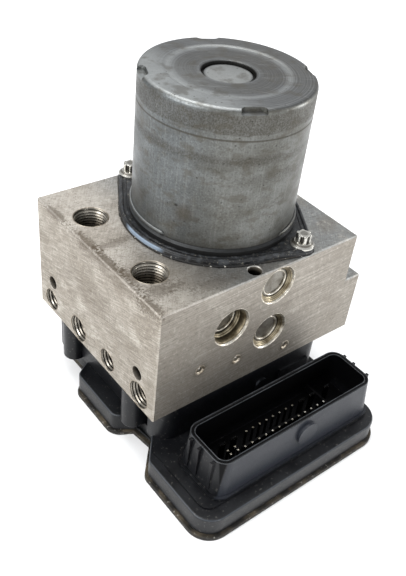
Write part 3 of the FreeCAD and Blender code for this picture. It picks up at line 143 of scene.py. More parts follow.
class Shade:
    """A material in the making: its tree, its shader and the point in millimetres."""

    def __init__(self, name: str, metallic: float, roughness: float, ior: float = 1.5,
                 specular: float = 0.5) -> None:
        """Starts a material with one shader.

        Args:
            name: The material's name.
            metallic: The shader's metallic value.
            roughness: Its roughness where no pattern is linked.
            ior: Its index of refraction.
            specular: Its specular level, below one half where dust dulls the gloss.
        """
        self.material = bpy.data.materials.new(name)
        self.material.use_nodes = True
        self.tree = self.material.node_tree
        self.shader = self.tree.nodes["Principled BSDF"]
        for label, value in (("Metallic", metallic), ("Roughness", roughness), ("IOR", ior),
                             ("Specular IOR Level", specular)):
            self.shader.inputs[label].default_value = value
        place = self.add("TexCoord", (), "Object")
        self.point = self.add("VectorMath", {0: place, "Scale": 1.0 / MM}, operation="SCALE")
        self.x, self.y, self.z = (self.add("SeparateXYZ", (self.point,), axis) for axis in range(3))
        normal = self.add("TexCoord", (), "Normal")
        self.facing = [self.add("SeparateXYZ", (normal,), axis) for axis in range(3)]

    def add(self, kind: str, inputs: Any, output: Any = 0, **settings: Any) -> Socket:
        """Adds a node with its settings and links.

        Args:
            kind: The node's type, without its usual first part.
            inputs: Values in order, or by socket name or number. A value is a number, a
                hex colour or the socket that feeds it.
            output: Name or number of the socket to hand back.
            settings: Attributes of the node.

        Returns:
            The output socket.
        """
        node = self.tree.nodes.new("ShaderNode" + kind)
        for name, value in settings.items():
            setattr(node, name, value)
        for name, value in (inputs.items() if isinstance(inputs, dict) else enumerate(inputs)):
            if isinstance(value, bpy.types.NodeSocket):
                self.tree.links.new(value, node.inputs[name])
            elif isinstance(value, str):
                node.inputs[name].default_value = hex_to_linear(value)
            else:
                node.inputs[name].default_value = value
        return node.outputs[output]

    def share(self, *factors: Any) -> Any:
        """The product of its factors.

        Args:
            factors: Each is a number, a socket or a ramp. A ramp is a value, where it
                starts, where it ends and its most: it goes smoothly from 0 to its most.

        Returns:
            A number or a socket.
        """
        product: Any = None
        for factor in factors:
            if isinstance(factor, tuple):
                value, start, end, most = factor
                factor = self.add("MapRange", (value, start, end, 0.0, most), **SMOOTH)
            product = factor if product is None else self.add("Math", (product, factor), **TIMES)
        return product

    def layered(self, base: Any, layers: Sequence[tuple[Any, ...]]) -> Socket:
        """Lays colours over a base, one after another.

        Args:
            base: The lowest colour.
            layers: For each, the factors of its share, and then its colour.

        Returns:
            The colour of them all.
        """
        tone = base
        for *factors, colour in layers:
            tone = self.add("Mix", {0: self.share(*factors), 6: tone, 7: colour}, 2, data_type="RGBA")
        return tone

    def band(self, value: Socket, edges: Edges) -> Socket:
        """1 in a band: a smooth rise over the first two edges times a fall over the last two."""
        fall = self.add("MapRange", (value, edges[2], edges[3], 1.0, 0.0), **SMOOTH)
        return self.share((value, edges[0], edges[1], 1.0), fall)

    def inside(self, box: Sequence[Edges]) -> Socket:
        """1 inside a box with soft sides: a band along X times one along Y times one along Z."""
        return self.share(*(self.band(*pair) for pair in zip((self.x, self.y, self.z), box)))

    def grain(self, size: Triple, detail: float = 3.0, tilt: float = 0.0, axis: str = "X_AXIS",
              seed: float = 0.0) -> Socket:
        """Noise whose blobs are size millimetres long on each axis, turned about one axis.

        Args:
            size: Length of a blob along X, Y and Z, in millimetres.
            detail: Octaves of finer noise.
            tilt: Turn of the pattern in degrees.
            axis: The axis that it turns about.
            seed: Offset that makes another pattern of the same kind.

        Returns:
            A value that lies about 0.5.
        """
        turned = self.point
        if tilt:
            turned = self.add("VectorRotate", {"Vector": turned, "Angle": math.radians(tilt)},
                              rotation_type=axis)
        stretched = self.add("VectorMath", (turned, size), operation="DIVIDE")
        moved = self.add("VectorMath", (stretched, (seed, 2.3 * seed, -1.7 * seed)), **PLUS)
        return self.add("TexNoise", {"Vector": moved, "Scale": 1.0, "Detail": detail,
                                     "Roughness": 0.55})

    def reach(self, centre: Triple, radii: Triple) -> Socket:
        """Distance from a centre in units of the radii: 1 on the ellipsoid."""
        offset = self.add("VectorMath", (self.point, centre), **LESS)
        shared = self.add("VectorMath", (offset, radii), operation="DIVIDE")
        return self.add("VectorMath", (shared,), "Value", operation="LENGTH")

    def finish(self, colour: Socket, roughness: Optional[Socket] = None,
               height: Optional[Socket] = None, relief_mm: float = 0.02) -> bpy.types.Material:
        """Links the patterns to the shader.

        Args:
            colour: The base colour.
            roughness: The roughness pattern.
            height: The relief pattern, from 0 to 1.
            relief_mm: How deep the relief is.

        Returns:
            The finished material.
        """
        self.tree.links.new(colour, self.shader.inputs["Base Color"])
        if roughness is not None:
            self.tree.links.new(roughness, self.shader.inputs["Roughness"])
        if height is not None:
            bump = self.add("Bump", {"Height": height, "Distance": relief_mm * MM, "Strength": 1.0})
            self.tree.links.new(bump, self.shader.inputs["Normal"])
        return self.material


@dataclass(frozen=True)
class Stain:
    """A brownish mark on the block: where it lies, how far it reaches and how dark it is."""

    centre: Triple
    radii: Triple
    share: float


@dataclass(frozen=True)
class MilledAluminium:
    """Wrought aluminium, face-milled and brushed: pale, warm, with fine tool lines and stains."""

    left_tone: str = "999287"
    front_tone: str = "989289"
    # Painted light: the top is paler than the sides, with painted shade going bluish towards its
    # right
    top_face_lighting_tone: str = "B4AEA5"
    bluish_top_shade_tone: str = "797E80"
    # Painted shade: the block goes darker towards its right
    wear_and_shade_tone: str = "746E64"
    cloud_tone: str = "766C5E"
    pale_tone: str = "CBC6BC"
    dark_mottle: str = "5F584D"
    light_mottle: str = "D8D3C9"
    groove_tone: str = "55504A"
    crest_tone: str = "E2DED6"
    nick_tone: str = "453D32"
    speck_tone: str = "3C342A"
    stain_tone: str = "4B3F30"
    # Painted highlight on the chamfered edges
    edge_highlight_tone: str = "DAD6CE"
    bore_rim_tone: str = "6F614A"
    bore_tone: str = "0B0A08"
    roughness: float = 0.40
    relief_mm: float = 0.05
    # Coarse and fine noise push a stain's edge about by these shares of its reach
    mottle_push: float = 1.6
    flake_push: float = 2.2
    low_corner: Triple = (-56.8, -44.0, 29.5)
    high_corner: Triple = (43.2, 44.0, 83.5)
    stains: tuple[Stain, ...] = (
        # Along the edge of the left and top faces
        Stain((-56.6, -8.0, 82.5), (3.6, 32.0, 5.6), 0.4),
        Stain((-56.0, -36.0, 83.0), (3.0, 9.0, 4.6), 0.6),
        Stain((-55.2, 6.0, 83.5), (2.6, 10.0, 3.0), 0.5),
        Stain((-55.0, -8.0, 83.5), (2.4, 12.0, 2.6), 0.55),
        Stain((-53.6, -20.0, 83.5), (2.2, 9.0, 1.8), 0.5),
        Stain((-56.0, 30.0, 83.5), (2.0, 10.0, 3.0), 0.6),
        # On top: between the master ports, and round the front one
        Stain((-47.5, 1.2, 83.5), (11.0, 2.8, 1.0), 0.48),
        Stain((-45.3, -20.9, 83.5), (13.5, 12.5, 1.0), 0.2),
        Stain((-47.5, -31.5, 83.5), (9.0, 4.6, 1.0), 0.45),
        Stain((-36.0, -33.0, 83.5), (11.0, 5.0, 1.0), 0.24),
        Stain((-29.0, -38.5, 83.5), (10.0, 4.0, 1.0), 0.35),
        # Faint clouds on the left and front faces
        Stain((-56.8, 4.0, 62.0), (1.0, 22.0, 9.0), 0.26),
        Stain((-56.8, -20.0, 54.0), (1.0, 14.0, 8.0), 0.16),
        Stain((-11.0, -44.0, 56.0), (10.0, 1.0, 5.0), 0.12),
        # Round the three ball plugs
        Stain((-35.5, -44.0, 46.8), (3.4, 1.0, 3.2), 0.5),
        Stain((-16.3, -44.0, 42.8), (3.4, 1.0, 3.2), 0.5),
        Stain((11.7, -44.0, 36.9), (3.0, 1.0, 2.8), 0.5),
    )

    def sunk(self, shade: Shade) -> Socket:
        """Depth below the nearest face of the block: the least of six distances.

        Args:
            shade: The material in the making.

        Returns:
            The depth in millimetres.
        """
        depth: Any = FAR
        for value, low, high in zip((shade.x, shade.y, shade.z), self.low_corner, self.high_corner):
            for pair in ((value, low), (high, value)):
                depth = shade.add("Math", (depth, shade.add("Math", pair, **LESS)), **LEAST)
        return depth

    def tool_lines(self, shade: Shade, sideways: Socket, upward: Socket) -> Socket:
        """Tool lines for each way that a face looks: tilted, level, or crossed on top.

        The lines are a tenth of a millimetre apart and are drawn as coarse as a picture shows.

        Args:
            shade: The material in the making.
            sideways: Share of a face that looks left or right.
            upward: Share of a face that looks up.

        Returns:
            A value that lies about 0.5.
        """
        left = shade.grain((30.0, 9.0, 0.5), 4.0, 16.0, "X_AXIS", 1.0)
        front = shade.grain((40.0, 30.0, 0.36), 4.0, 3.0, "Y_AXIS", 2.0)
        top = shade.grain((0.5, 9.0, 30.0), 4.0, 38.0, "Z_AXIS", 3.0)
        cross = shade.grain((12.0, 0.5, 30.0), 4.0, 4.0, "Z_AXIS", 4.0)
        crossed = shade.add("Mix", {0: 0.5, 2: top, 3: cross})
        upright = shade.add("Mix", {0: sideways, 2: front, 3: left})
        return shade.add("Mix", {0: upward, 2: upright, 3: crossed})

    def stained(self, shade: Shade, tone: Socket, mottle: Socket) -> Socket:
        """Lays the stains over a tone. Noise pushes their edges about, so that they are ragged.

        Args:
            shade: The material in the making.
            tone: The colour so far.
            mottle: The coarser noise.

        Returns:
            The stained colour.
        """
        flake = shade.grain((0.9, 0.9, 0.7), 3.0, seed=17.0)
        for stain in self.stains:
            reach = shade.reach(stain.centre, stain.radii)
            pushed = shade.add("Math", (mottle, self.mottle_push, reach), **TIMES_PLUS)
            pushed = shade.add("Math", (flake, self.flake_push, pushed), **TIMES_PLUS)
            tone = shade.layered(tone, (((pushed, 3.0, 2.4, stain.share), self.stain_tone),))
        return tone

    def build(self) -> bpy.types.Material:
        """Makes the material. The front is cleaner than the handled left and top faces."""
        shade = Shade("milled_aluminium", 0.85, self.roughness)
        steep = [shade.add("Math", (way,), operation="ABSOLUTE") for way in shade.facing]
        sideways = shade.share((steep[0], 0.4, 0.7, 1.0))
        upward = shade.share((steep[2], 0.4, 0.7, 1.0))
        squarest = shade.add("Math", (steep[0], steep[1]), **MOST)
        squarest = shade.add("Math", (squarest, steep[2]), **MOST)
        lines = self.tool_lines(shade, sideways, upward)
        cloud = shade.grain((15.0, 15.0, 11.0), 5.0, seed=7.0)
        pale = shade.grain((9.0, 9.0, 7.0), 5.0, seed=12.0)
        mottle = shade.grain((1.7, 1.7, 1.5), 5.0, seed=9.0)
        speck = shade.grain((0.8, 0.8, 0.8), 2.0, seed=13.0)
        # Nicks and short scratches that run two ways
        nick = shade.add("Math", (shade.grain((2.8, 0.4, 0.4), 2.0, 35.0, "Z_AXIS", 21.0),
                                  shade.grain((0.4, 0.4, 2.6), 2.0, 28.0, "X_AXIS", 22.0)), **MOST)
        handled = shade.add("MapRange", (shade.add("Math", (sideways, upward), **MOST),
                                         0.0, 1.0, 0.35, 1.0))
        tone = shade.layered(self.front_tone, (
            # Painted shade: darker towards the right
            ((shade.x, 12.0, 43.0, 0.22), self.wear_and_shade_tone),
            (sideways, self.left_tone),
            # Painted light on the top, with painted shade going bluish towards its right
            (upward, self.top_face_lighting_tone),
            (upward, (shade.x, -44.0, -12.0, 0.82), self.bluish_top_shade_tone),
            (handled, (cloud, 0.44, 0.66, 0.34), self.cloud_tone),
            (handled, (pale, 0.50, 0.70, 0.40), self.pale_tone),
            ((mottle, 0.5, 0.72, 0.30), self.dark_mottle),
            ((mottle, 0.45, 0.30, 0.26), self.light_mottle),
            ((lines, 0.58, 0.35, 0.24), self.groove_tone),
            ((lines, 0.55, 0.75, 0.26), self.crest_tone),
            (handled, (nick, 0.59, 0.70, 0.6), self.nick_tone),
            ((speck, 0.65, 0.74, 0.55), self.speck_tone)))
        tone = self.stained(shade, tone, mottle)
        depth = self.sunk(shade)
        tone = shade.layered(tone, (
            # Painted highlight on the chamfered edges
            ((squarest, 0.92, 0.80, 0.16), self.edge_highlight_tone),
            # Little light gets into a drilling, so it goes brown, then dark with depth
            ((depth, 0.15, 0.6, 0.35), self.bore_rim_tone),
            ((depth, 0.3, 2.6, 0.96), self.bore_tone)))
        rough = shade.add("MapRange", (lines, 0.3, 0.7, self.roughness + 0.12, self.roughness - 0.06),
                          **SMOOTH)
        rough = shade.add("Math", (cloud, 0.12, rough), **TIMES_PLUS)
        height = shade.add("Mix", {0: 0.25, 2: lines, 3: mottle})
        return shade.finish(tone, rough, height, self.relief_mm)


@dataclass(frozen=True)
class CutThread:
    """Cut aluminium thread: crests in painted light, fading with depth, roots in painted shade, oil
    smears.
    """

    crest_tone: str = "CFC9BD"
    root_shade_tone: str = "2E2922"
    oil_tone: str = "5A5347"

    def build(self) -> bpy.types.Material:
        """Makes the material."""
        shade = Shade("cut_thread", 0.9, 0.26)
        smear = shade.grain((1.6, 1.6, 1.6), 4.0, seed=3.0)
        crest = shade.add("Attribute", (), "Fac", attribute_name=PAINTED_LIGHT)
        # Painted light: from painted shade in the roots and deep down, up to the crest tone
        tone = shade.layered(self.root_shade_tone, (
            (shade.add("MapRange", (crest, 0.1, 1.0, 0.0, 1.0)), self.crest_tone),
            ((smear, 0.45, 0.7, 0.45), self.oil_tone)))
        rough = shade.add("MapRange", (smear, 0.3, 0.7, 0.20, 0.40), **SMOOTH)
        return shade.finish(tone, rough, smear)


@dataclass(frozen=True)
class ZincSteel:
    """Drawn steel, zinc plated and weathered: dull blue-grey with dirty bands and pits."""

    tone: str = "676865"
    dull_tone: str = "54534D"
    # Painted shade on the wall: bluish towards the left, darker towards the right
    left_shade_tone: str = "4D555C"
    shaded_tone: str = "454643"
    streak_tone: str = "979893"
    dark_fleck: str = "3E3E3B"
    light_fleck: str = "90918F"
    dirt_tone: str = "3F3B34"
    smudge_tone: str = "423829"
    # Painted light on the top: darker than the wall, lighter towards the left, shaded towards the
    # right
    top_face_lighting_tone: str = "505151"
    top_left_light_tone: str = "949796"
    top_right_shade_tone: str = "423F38"
    ring_tone: str = "86898A"
    # Painted highlight: a pale ring where a shallow step of the top catches the light
    pale_ring_highlight_tone: str = "9A9D9C"
    dull_disc_tone: str = "3F3D38"
    pocket_tone: str = "919391"
    blot_tone: str = "48443B"
    scratch_tone: str = "ABADAC"
    pepper_tone: str = "35332F"
    foot_tone: str = "17181A"
    groove_tone: str = "131211"
    pit_tone: str = "2C2A27"
    deep_pit_tone: str = "1B1815"
    relief_mm: float = 0.05
    top_z: float = 145.1
    smudge_at: Triple = (-29.2, -17.1, 101.6)
    smudge_radii: Triple = (4.6, 4.6, 4.4)
    deep_pit_at: Triple = (-30.7, -14.1, 104.2)
    deep_pit_radii: Triple = (1.0, 1.0, 0.8)

    def wall_dirt(self, shade: Shade, down: Socket, cloud: Socket) -> Socket:
        """Share of dirt on the wall: the most of bands at depths under the rim and of smudges, and of
        a darkening towards the foot.

        Args:
            shade: The material in the making.
            down: Depth under the can's top, in millimetres.
            cloud: Noise that makes the bands waver.

        Returns:
            The share, from 0 to 1.
        """
        pepper = shade.grain((0.55, 0.55, 0.55), 2.0, seed=6.0)
        smudge = shade.grain((26.0, 26.0, 9.0), 6.0, seed=16.0)
        waver = shade.add("Math", (cloud, 3.0, down), **TIMES_PLUS)
        strong = shade.add("MapRange", (pepper, 0.36, 0.66, 0.25, 0.72), **SMOOTH)
        weak = shade.add("MapRange", (pepper, 0.36, 0.66, 0.22, 0.60), **SMOOTH)
        shares = (
            (shade.band(waver, (2.6, 4.0, 10.3, 11.0)), strong),
            (shade.band(down, (10.9, 11.2, 11.5, 12.0)), 0.75),
            (shade.band(waver, (18.4, 20.4, 21.4, 24.0)), weak),
            (shade.band(waver, (25.2, 27.8, 29.0, 33.0)), weak, (shade.x, -24.0, -8.0, 0.7)),
            ((smudge, 0.52, 0.76, 0.24),),
            # Darker towards the foot
            ((down, 52.0, 58.0, 0.55),),
        )
        dirt: Any = 0.0
        for factors in shares:
            dirt = shade.add("Math", (dirt, shade.share(*factors)), **MOST)
        return dirt

    def build(self) -> bpy.types.Material:
        """Makes the material: the wall first, then the top with rings that the drawing die left."""
        shade = Shade("zinc_plated_can", 0.78, 0.42)
        radius = shade.reach((0.0, 0.0, 0.0), (1.0, 1.0, FAR))
        upward = shade.share((shade.facing[2], 0.6, 0.85, 1.0))
        wall = shade.add("Math", (1.0, upward), **LESS)
        down = shade.add("Math", (self.top_z, shade.z), **LESS)
        cloud = shade.grain((12.0, 12.0, 7.0), 5.0, seed=5.0)
        blot = shade.grain((6.0, 6.0, 3.0), 5.0, seed=15.0)
        streak = shade.grain((0.8, 0.8, 26.0), 3.0, seed=8.0)
        fine = shade.grain((0.7, 0.7, 0.7), 3.0, seed=6.5)
        scratch = shade.grain((7.0, 0.4, 7.0), 3.0, 30.0, "Z_AXIS", 26.0)
        rings = shade.add("TexNoise", {"W": radius, "Scale": 1.7, "Detail": 4.0},
                          noise_dimensions="1D")
        pits = shade.add("TexVoronoi", {"Vector": shade.point, "Scale": 0.30}, "Distance")
        dirt = shade.share(self.wall_dirt(shade, down, cloud), wall)
        # One brown smudge low on the left front, with a deep pit above it
        smudge = shade.reach(self.smudge_at, self.smudge_radii)
        smudge = shade.add("Math", (blot, 1.3, smudge), **TIMES_PLUS)
        deep_pit = shade.reach(self.deep_pit_at, self.deep_pit_radii)
        deep_pit = shade.add("MapRange", (deep_pit, 1.0, 0.5, 0.0, 0.8))
        foot = shade.add("MapRange", (shade.z, 89.0, 88.5, 0.0, 0.85))
        near_top = shade.add("MapRange", (down, 3.0, 2.6, 0.0, 1.0))
        tone = shade.layered(self.tone, (
            ((cloud, 0.38, 0.64, 0.7), self.dull_tone),
            # Painted shade: the wall bluish towards the left and darker towards the right
            (wall, (shade.x, -18.0, -33.0, 0.45), self.left_shade_tone),
            (wall, (shade.x, 10.0, 28.0, 0.3), self.shaded_tone),
            (wall, (streak, 0.48, 0.7, 0.12), self.streak_tone),
            ((fine, 0.5, 0.70, 0.34), self.dark_fleck),
            ((fine, 0.46, 0.30, 0.22), self.light_fleck),
            (dirt, self.dirt_tone),
            ((smudge, 1.8, 0.9, 0.5), self.smudge_tone),
            # Painted light: the top darker than the wall, lighter towards the left, shaded towards
            # the right
            (upward, self.top_face_lighting_tone),
            (upward, (shade.x, -4.0, -28.0, 0.75), self.top_left_light_tone),
            (upward, (shade.x, 4.0, 26.0, 0.4), self.top_right_shade_tone),
            (upward, (rings, 0.42, 0.66, 0.34), self.ring_tone),
            # Painted highlight on a shallow step of the top
            (upward, shade.band(radius, (20.5, 22.5, 23.5, 25.0)), 0.35, self.pale_ring_highlight_tone),
            (upward, shade.band(radius, (11.5, 12.5, 19.0, 21.0)), 0.42, self.dull_disc_tone),
            (upward, shade.band(radius, (-2.0, -1.0, 8.2, 9.2)), 0.7, self.pocket_tone),
            ((blot, 0.48, 0.66, 0.55), self.blot_tone),
            (upward, (scratch, 0.58, 0.72, 0.3), self.scratch_tone),
            ((fine, 0.56, 0.70, 0.22), self.pepper_tone),
            (foot, self.foot_tone),
            (deep_pit, self.deep_pit_tone),
            (near_top, shade.band(radius, (9.3, 9.6, 10.3, 10.7)), 0.88, self.groove_tone),
            ((pits, 0.13, 0.07, 0.65), self.pit_tone)))
        rough = shade.add("MapRange", (cloud, 0.3, 0.7, 0.36, 0.48), **SMOOTH)
        rough = shade.add("Math", (dirt, 0.25, rough), **TIMES_PLUS)
        return shade.finish(tone, rough, fine, self.relief_mm)


@dataclass(frozen=True)
class ZincScrew:
    """Zinc-plated screws: silver lobes with painted shade in the gaps and a brownish ring on the
    flange.
    """

    tone: str = "C9C7C0"
    wear_and_shade_tone: str = "77736A"
    gap_shade_tone: str = "25221C"
    ring_tone: str = "4A4031"
    middle_tone: str = "4F4B43"
    relief_mm: float = 0.004
    # The two screws in sight
    axes: tuple[Triple, ...] = ((14.91, -38.84, 0.0), (-14.91, 38.84, 0.0))
    flange_top: float = 87.8

    def build(self) -> bpy.types.Material:
        """Makes the material. The gaps are where the distance from the screw's axis is least."""
        shade = Shade("zinc_screw", 0.95, 0.25)
        fine = shade.grain((0.5, 0.5, 0.5), 4.0, seed=1.5)
        distance: Any = FAR
        for axis in self.axes:
            distance = shade.add("Math", (distance, shade.reach(axis, (1.0, 1.0, FAR))), **LEAST)
        side = shade.add("MapRange", (shade.facing[2], 0.6, 0.4, 0.0, 0.95))
        head = shade.add("MapRange", (shade.z, self.flange_top - 0.3, self.flange_top, 0.0, 1.0))
        flange = shade.add("Math", (1.0, head), **LESS)
        middle = shade.add("MapRange", (distance, 1.9, 1.3, 0.0, 0.6))
        tone = shade.layered(self.tone, (
            ((fine, 0.46, 0.70, 0.7), self.wear_and_shade_tone),
            (shade.band(distance, (3.0, 3.3, 4.0, 4.5)), 0.7, flange, self.ring_tone),
            # Painted shade in the gaps between the lobes
            (head, side, shade.band(distance, (1.0, 1.1, 2.65, 3.05)), self.gap_shade_tone),
            (head, middle, self.middle_tone)))
        rough = shade.add("MapRange", (fine, 0.3, 0.7, 0.18, 0.38), **SMOOTH)
        return shade.finish(tone, rough, fine, self.relief_mm)


@dataclass(frozen=True)
class Metal:
    """A turned, plated or drawn metal with light wear: bright, with fine turning marks."""

    name: str
    tone: str
    wear_and_shade_tone: str
    roughness: float
    metallic: float = 0.95
    grain_mm: Triple = (0.8, 0.8, 0.8)
    relief_mm: float = 0.02
    # Heights where the tone holds; outside them painted shade, as down in a well
    bright_span: Optional[tuple[float, float]] = None
    well_shade_tone: str = "1C1D1F"
    crease_shade_tone: Optional[str] = None

    def build(self) -> bpy.types.Material:
        """Makes the material.

        Outside its bright span of heights it goes to painted shade, as down in a well. A creased one
        goes to painted shade in its creases, where the piece's painted light value is low.
        """
        shade = Shade(self.name, self.metallic, self.roughness)
        fine = shade.grain(self.grain_mm, 4.0, seed=1.5)
        cloud = shade.grain((4.0, 4.0, 4.0), 4.0, seed=2.5)
        tone = shade.layered(self.tone, (
            ((cloud, 0.38, 0.66, 1.0), self.wear_and_shade_tone),
            ((fine, 0.5, 0.75, 0.4), self.wear_and_shade_tone)))
        # Painted shade outside the bright span
        if self.bright_span is not None:
            low, high = self.bright_span
            bright = shade.band(shade.z, (low - 0.4, low, high, high + 0.15))
            tone = shade.layered(self.well_shade_tone, ((bright, tone),))
        # Painted shade in the creases, where the piece's painted light is low
        if self.crease_shade_tone is not None:
            crest = shade.add("Attribute", (), "Fac", attribute_name=PAINTED_LIGHT)
            tone = shade.layered(self.crease_shade_tone, ((crest, tone),))
        rough = shade.add("MapRange", (fine, 0.3, 0.7, max(self.roughness - 0.08, 0.05),
                                       self.roughness + 0.12), **SMOOTH)
        return shade.finish(tone, rough, fine, self.relief_mm)


@dataclass(frozen=True)
class Moulding:
    """Injection-moulded or pressed black material: even, satin, with a faint grain and dust."""

    name: str
    tone: str
    dust_tone: str
    roughness: float
    dust: float = 0.3
    grain_mm: float = 0.5
    relief_mm: float = 0.02
    specular: float = 0.5
    flecks: float = 0.0
    # Share of a painted highlight, in the dust tone, on rounded edges
    painted_edge_highlight: float = 0.0
    fleck_tone: str = "B9B6AE"
    # Boxes, as edges along X, Y and Z: one that hardly any light gets into, and one with a painted
    # sheen
    well: tuple[Edges, ...] = ()
    well_shade_tone: str = "070708"
    well_specular: float = 0.07
    painted_sheen: tuple[Edges, ...] = ()
    painted_sheen_tone: str = "262930"

    def build(self) -> bpy.types.Material:
        """Makes the material. Dust lies most on faces that look up, and rounded edges get a painted
        highlight.
        """
        shade = Shade(self.name, 0.0, self.roughness, 1.52, self.specular)
        fine = shade.grain((self.grain_mm,) * 3, 3.0, seed=4.5)
        cloud = shade.grain((9.0, 9.0, 6.0), 5.0, seed=5.5)
        smear = shade.grain((2.2, 14.0, 2.2), 4.0, 35.0, "Z_AXIS", 6.5)
        fleck = shade.grain((1.1, 1.1, 1.1), 2.0, seed=8.5)
        lie = shade.add("MapRange", (shade.facing[2], 0.3, 0.9, 0.3, 1.0), **SMOOTH)
        dusty = shade.add("Math", (shade.share((cloud, 0.40, 0.68, 1.0), lie),
                                   shade.share((smear, 0.55, 0.75, 0.35))), **PLUS)
        tilt = shade.add("Math", (shade.facing[2],), operation="ABSOLUTE")
        tone = shade.layered(self.tone, (
            (dusty, self.dust, self.dust_tone),
            # Painted highlight on rounded edges
            (shade.band(tilt, (0.25, 0.45, 0.85, 0.95)), self.painted_edge_highlight, self.dust_tone),
            ((fleck, 0.64, 0.70, self.flecks), self.fleck_tone)))
        # Painted sheen: lighter and bluish inside its box
        if self.painted_sheen:
            tone = shade.layered(tone, ((shade.inside(self.painted_sheen), 0.75, self.painted_sheen_tone),))
        if self.well:
            inside = shade.inside(self.well)
            tone = shade.layered(tone, ((inside, self.well_shade_tone),))
            gloss = shade.add("MapRange", (inside, 0.0, 1.0, self.specular, self.well_specular))
            shade.tree.links.new(gloss, shade.shader.inputs["Specular IOR Level"])
        rough = shade.add("MapRange", (fine, 0.3, 0.7, self.roughness - 0.05, self.roughness + 0.08),
                          **SMOOTH)
        rough = shade.add("Math", (dusty, 0.15, rough), **TIMES_PLUS)
        return shade.finish(tone, rough, fine, self.relief_mm)


@dataclass(frozen=True)
class CoatedPlate:
    """Black-coated stamped steel: satin, with a painted reflection, chalky and sky-coloured, on its
    left front.
    """

    tone: str = "111214"
    wear_and_shade_tone: str = "3D4043"
    speck_tone: str = "8A8578"
    # Painted reflection on the flange's left front
    reflection_tone: str = "788695"
    reflection_centre: Triple = (-37.6, -4.5, 85.5)
    reflection_reach: Triple = (5.0, 13.0, 5.0)
    reflection_radii: Edges = (37.7, 37.9, 38.5, 38.9)
    relief_mm: float = 0.03

    def build(self) -> bpy.types.Material:
        """Makes the material. The painted reflection follows the flange: a band of radius near one
        place.
        """
        shade = Shade("black_coated_steel", 0.0, 0.42, 1.5, 0.32)
        radius = shade.reach((0.0, 0.0, 0.0), (1.0, 1.0, FAR))
        fine = shade.grain((0.8, 0.8, 0.8), 4.0, seed=4.0)
        wear = shade.grain((3.0, 3.0, 2.0), 5.0, seed=14.0)
        near = (shade.reach(self.reflection_centre, self.reflection_reach), 1.0, 0.6, 1.0)
        tone = shade.layered(self.tone, (
            ((wear, 0.44, 0.70, 0.7), self.wear_and_shade_tone),
            ((fine, 0.60, 0.70, 0.45), self.speck_tone),
            # Painted reflection
            (near, shade.band(radius, self.reflection_radii), self.reflection_tone)))
        rough = shade.add("MapRange", (wear, 0.3, 0.7, 0.36, 0.54), **SMOOTH)
        return shade.finish(tone, rough, fine, self.relief_mm)


@dataclass(frozen=True)
class WoundCopper:
    """Enamelled copper wire laid side by side, or copper bars: orange-brown, glossy ridges."""

    tone: str = "A9633A"
    gap_tone: str = "3E1F12"
    smear_tone: str = "7A4022"
    wire_mm: float = 0.7
    relief_mm: float = 0.1

    def build(self) -> bpy.types.Material:
        """Makes the material. The turns are a sine of the height over the wire's width."""
        shade = Shade("wound_copper", 0.9, 0.32)
        phase = shade.add("Math", (shade.z, 2.0 * math.pi / self.wire_mm), **TIMES)
        turns = shade.add("Math", (phase,), operation="SINE")
        smear = shade.grain((2.0, 2.0, 0.7), 3.0, seed=2.0)
        tone = shade.layered(self.tone, (
            ((turns, -0.2, -0.9, 1.0), self.gap_tone),
            ((smear, 0.5, 0.7, 0.4), self.smear_tone)))
        rough = shade.add("MapRange", (smear, 0.3, 0.7, 0.25, 0.45), **SMOOTH)
        return shade.finish(tone, rough, turns, self.relief_mm)


@dataclass(frozen=True)
class CircuitLaminate:
    """Glass-epoxy laminate under green solder mask, with raised copper tracks."""

    mask_tone: str = "1E5B33"
    track_tone: str = "2F7A48"
    relief_mm: float = 0.05

    def build(self) -> bpy.types.Material:
        """Makes the material."""
        shade = Shade("circuit_laminate", 0.0, 0.35, 1.55)
        tracks = shade.add("TexBrick", {"Vector": shade.point, "Scale": 0.35, "Mortar Size": 0.06},
                           "Fac", offset=0.5)
        tone = shade.layered(self.mask_tone, ((tracks, self.track_tone),))
        rough = shade.add("MapRange", (tracks, 0.0, 1.0, 0.30, 0.42))
        return shade.finish(tone, rough, tracks, self.relief_mm)


@dataclass(frozen=True)
class StudioFloor:
    """Matt white paper sweep: even, with a fibre that hardly shows."""

    tone: str = "F7F7F7"
    fibre_tone: str = "E8E8E8"

    def build(self) -> bpy.types.Material:
        """Makes the material."""
        shade = Shade("paper_sweep", 0.0, 0.9)
        fibre = shade.grain((6.0, 6.0, 6.0), 3.0, seed=1.0)
        return shade.finish(shade.layered(self.tone, (((fibre, 0.3, 0.7, 0.02), self.fibre_tone),)))


# Turned steel: an even grey with fine marks
STAKED_PLUG = Metal("staked_plug", "85827B", "69645B", 0.36, 0.9)
# Freshly cut aluminium: bright where the light catches it
BRIGHT_BEVEL = Metal("bright_bevel", "D2CDC2", "968E7F", 0.30, 0.85, (0.5, 0.5, 0.5))
# Oiled aluminium, pressed over in steps: golden, with painted shade, near black, in its creases
STAKED_RING = Metal("staked_aluminium_ring", "A39880", "6A5E49", 0.36, 0.85, (0.6, 0.6, 0.6), 0.05,
                    crease_shade_tone="1B1610")
# Punched aluminium: small broken glints
PEENED_LIP = Metal("peened_lip", "B3AA9B", "6B6152", 0.40, 0.85, (0.6, 0.6, 0.6), 0.04)
# Ground steel: cool and glossy, with marks drawn out along Z
GROUND_STEEL = Metal("ground_steel", "B4B5B7", "96979A", 0.28, 1.0, (0.6, 0.6, 6.0))
# Drawn spring wire: dark grey and smooth
SPRING_WIRE = Metal("spring_wire", "7F8084", "5C5D61", 0.35, 1.0, (0.5, 0.5, 0.5))
# Tinned brass: silvery at the tips, with painted shade down in the plug's well
TINNED_PIN = Metal("tinned_pin", "DCD9D0", "A5A196", 0.22, 1.0, (0.5, 0.5, 2.0),
                   bright_span=(20.75, 21.25))
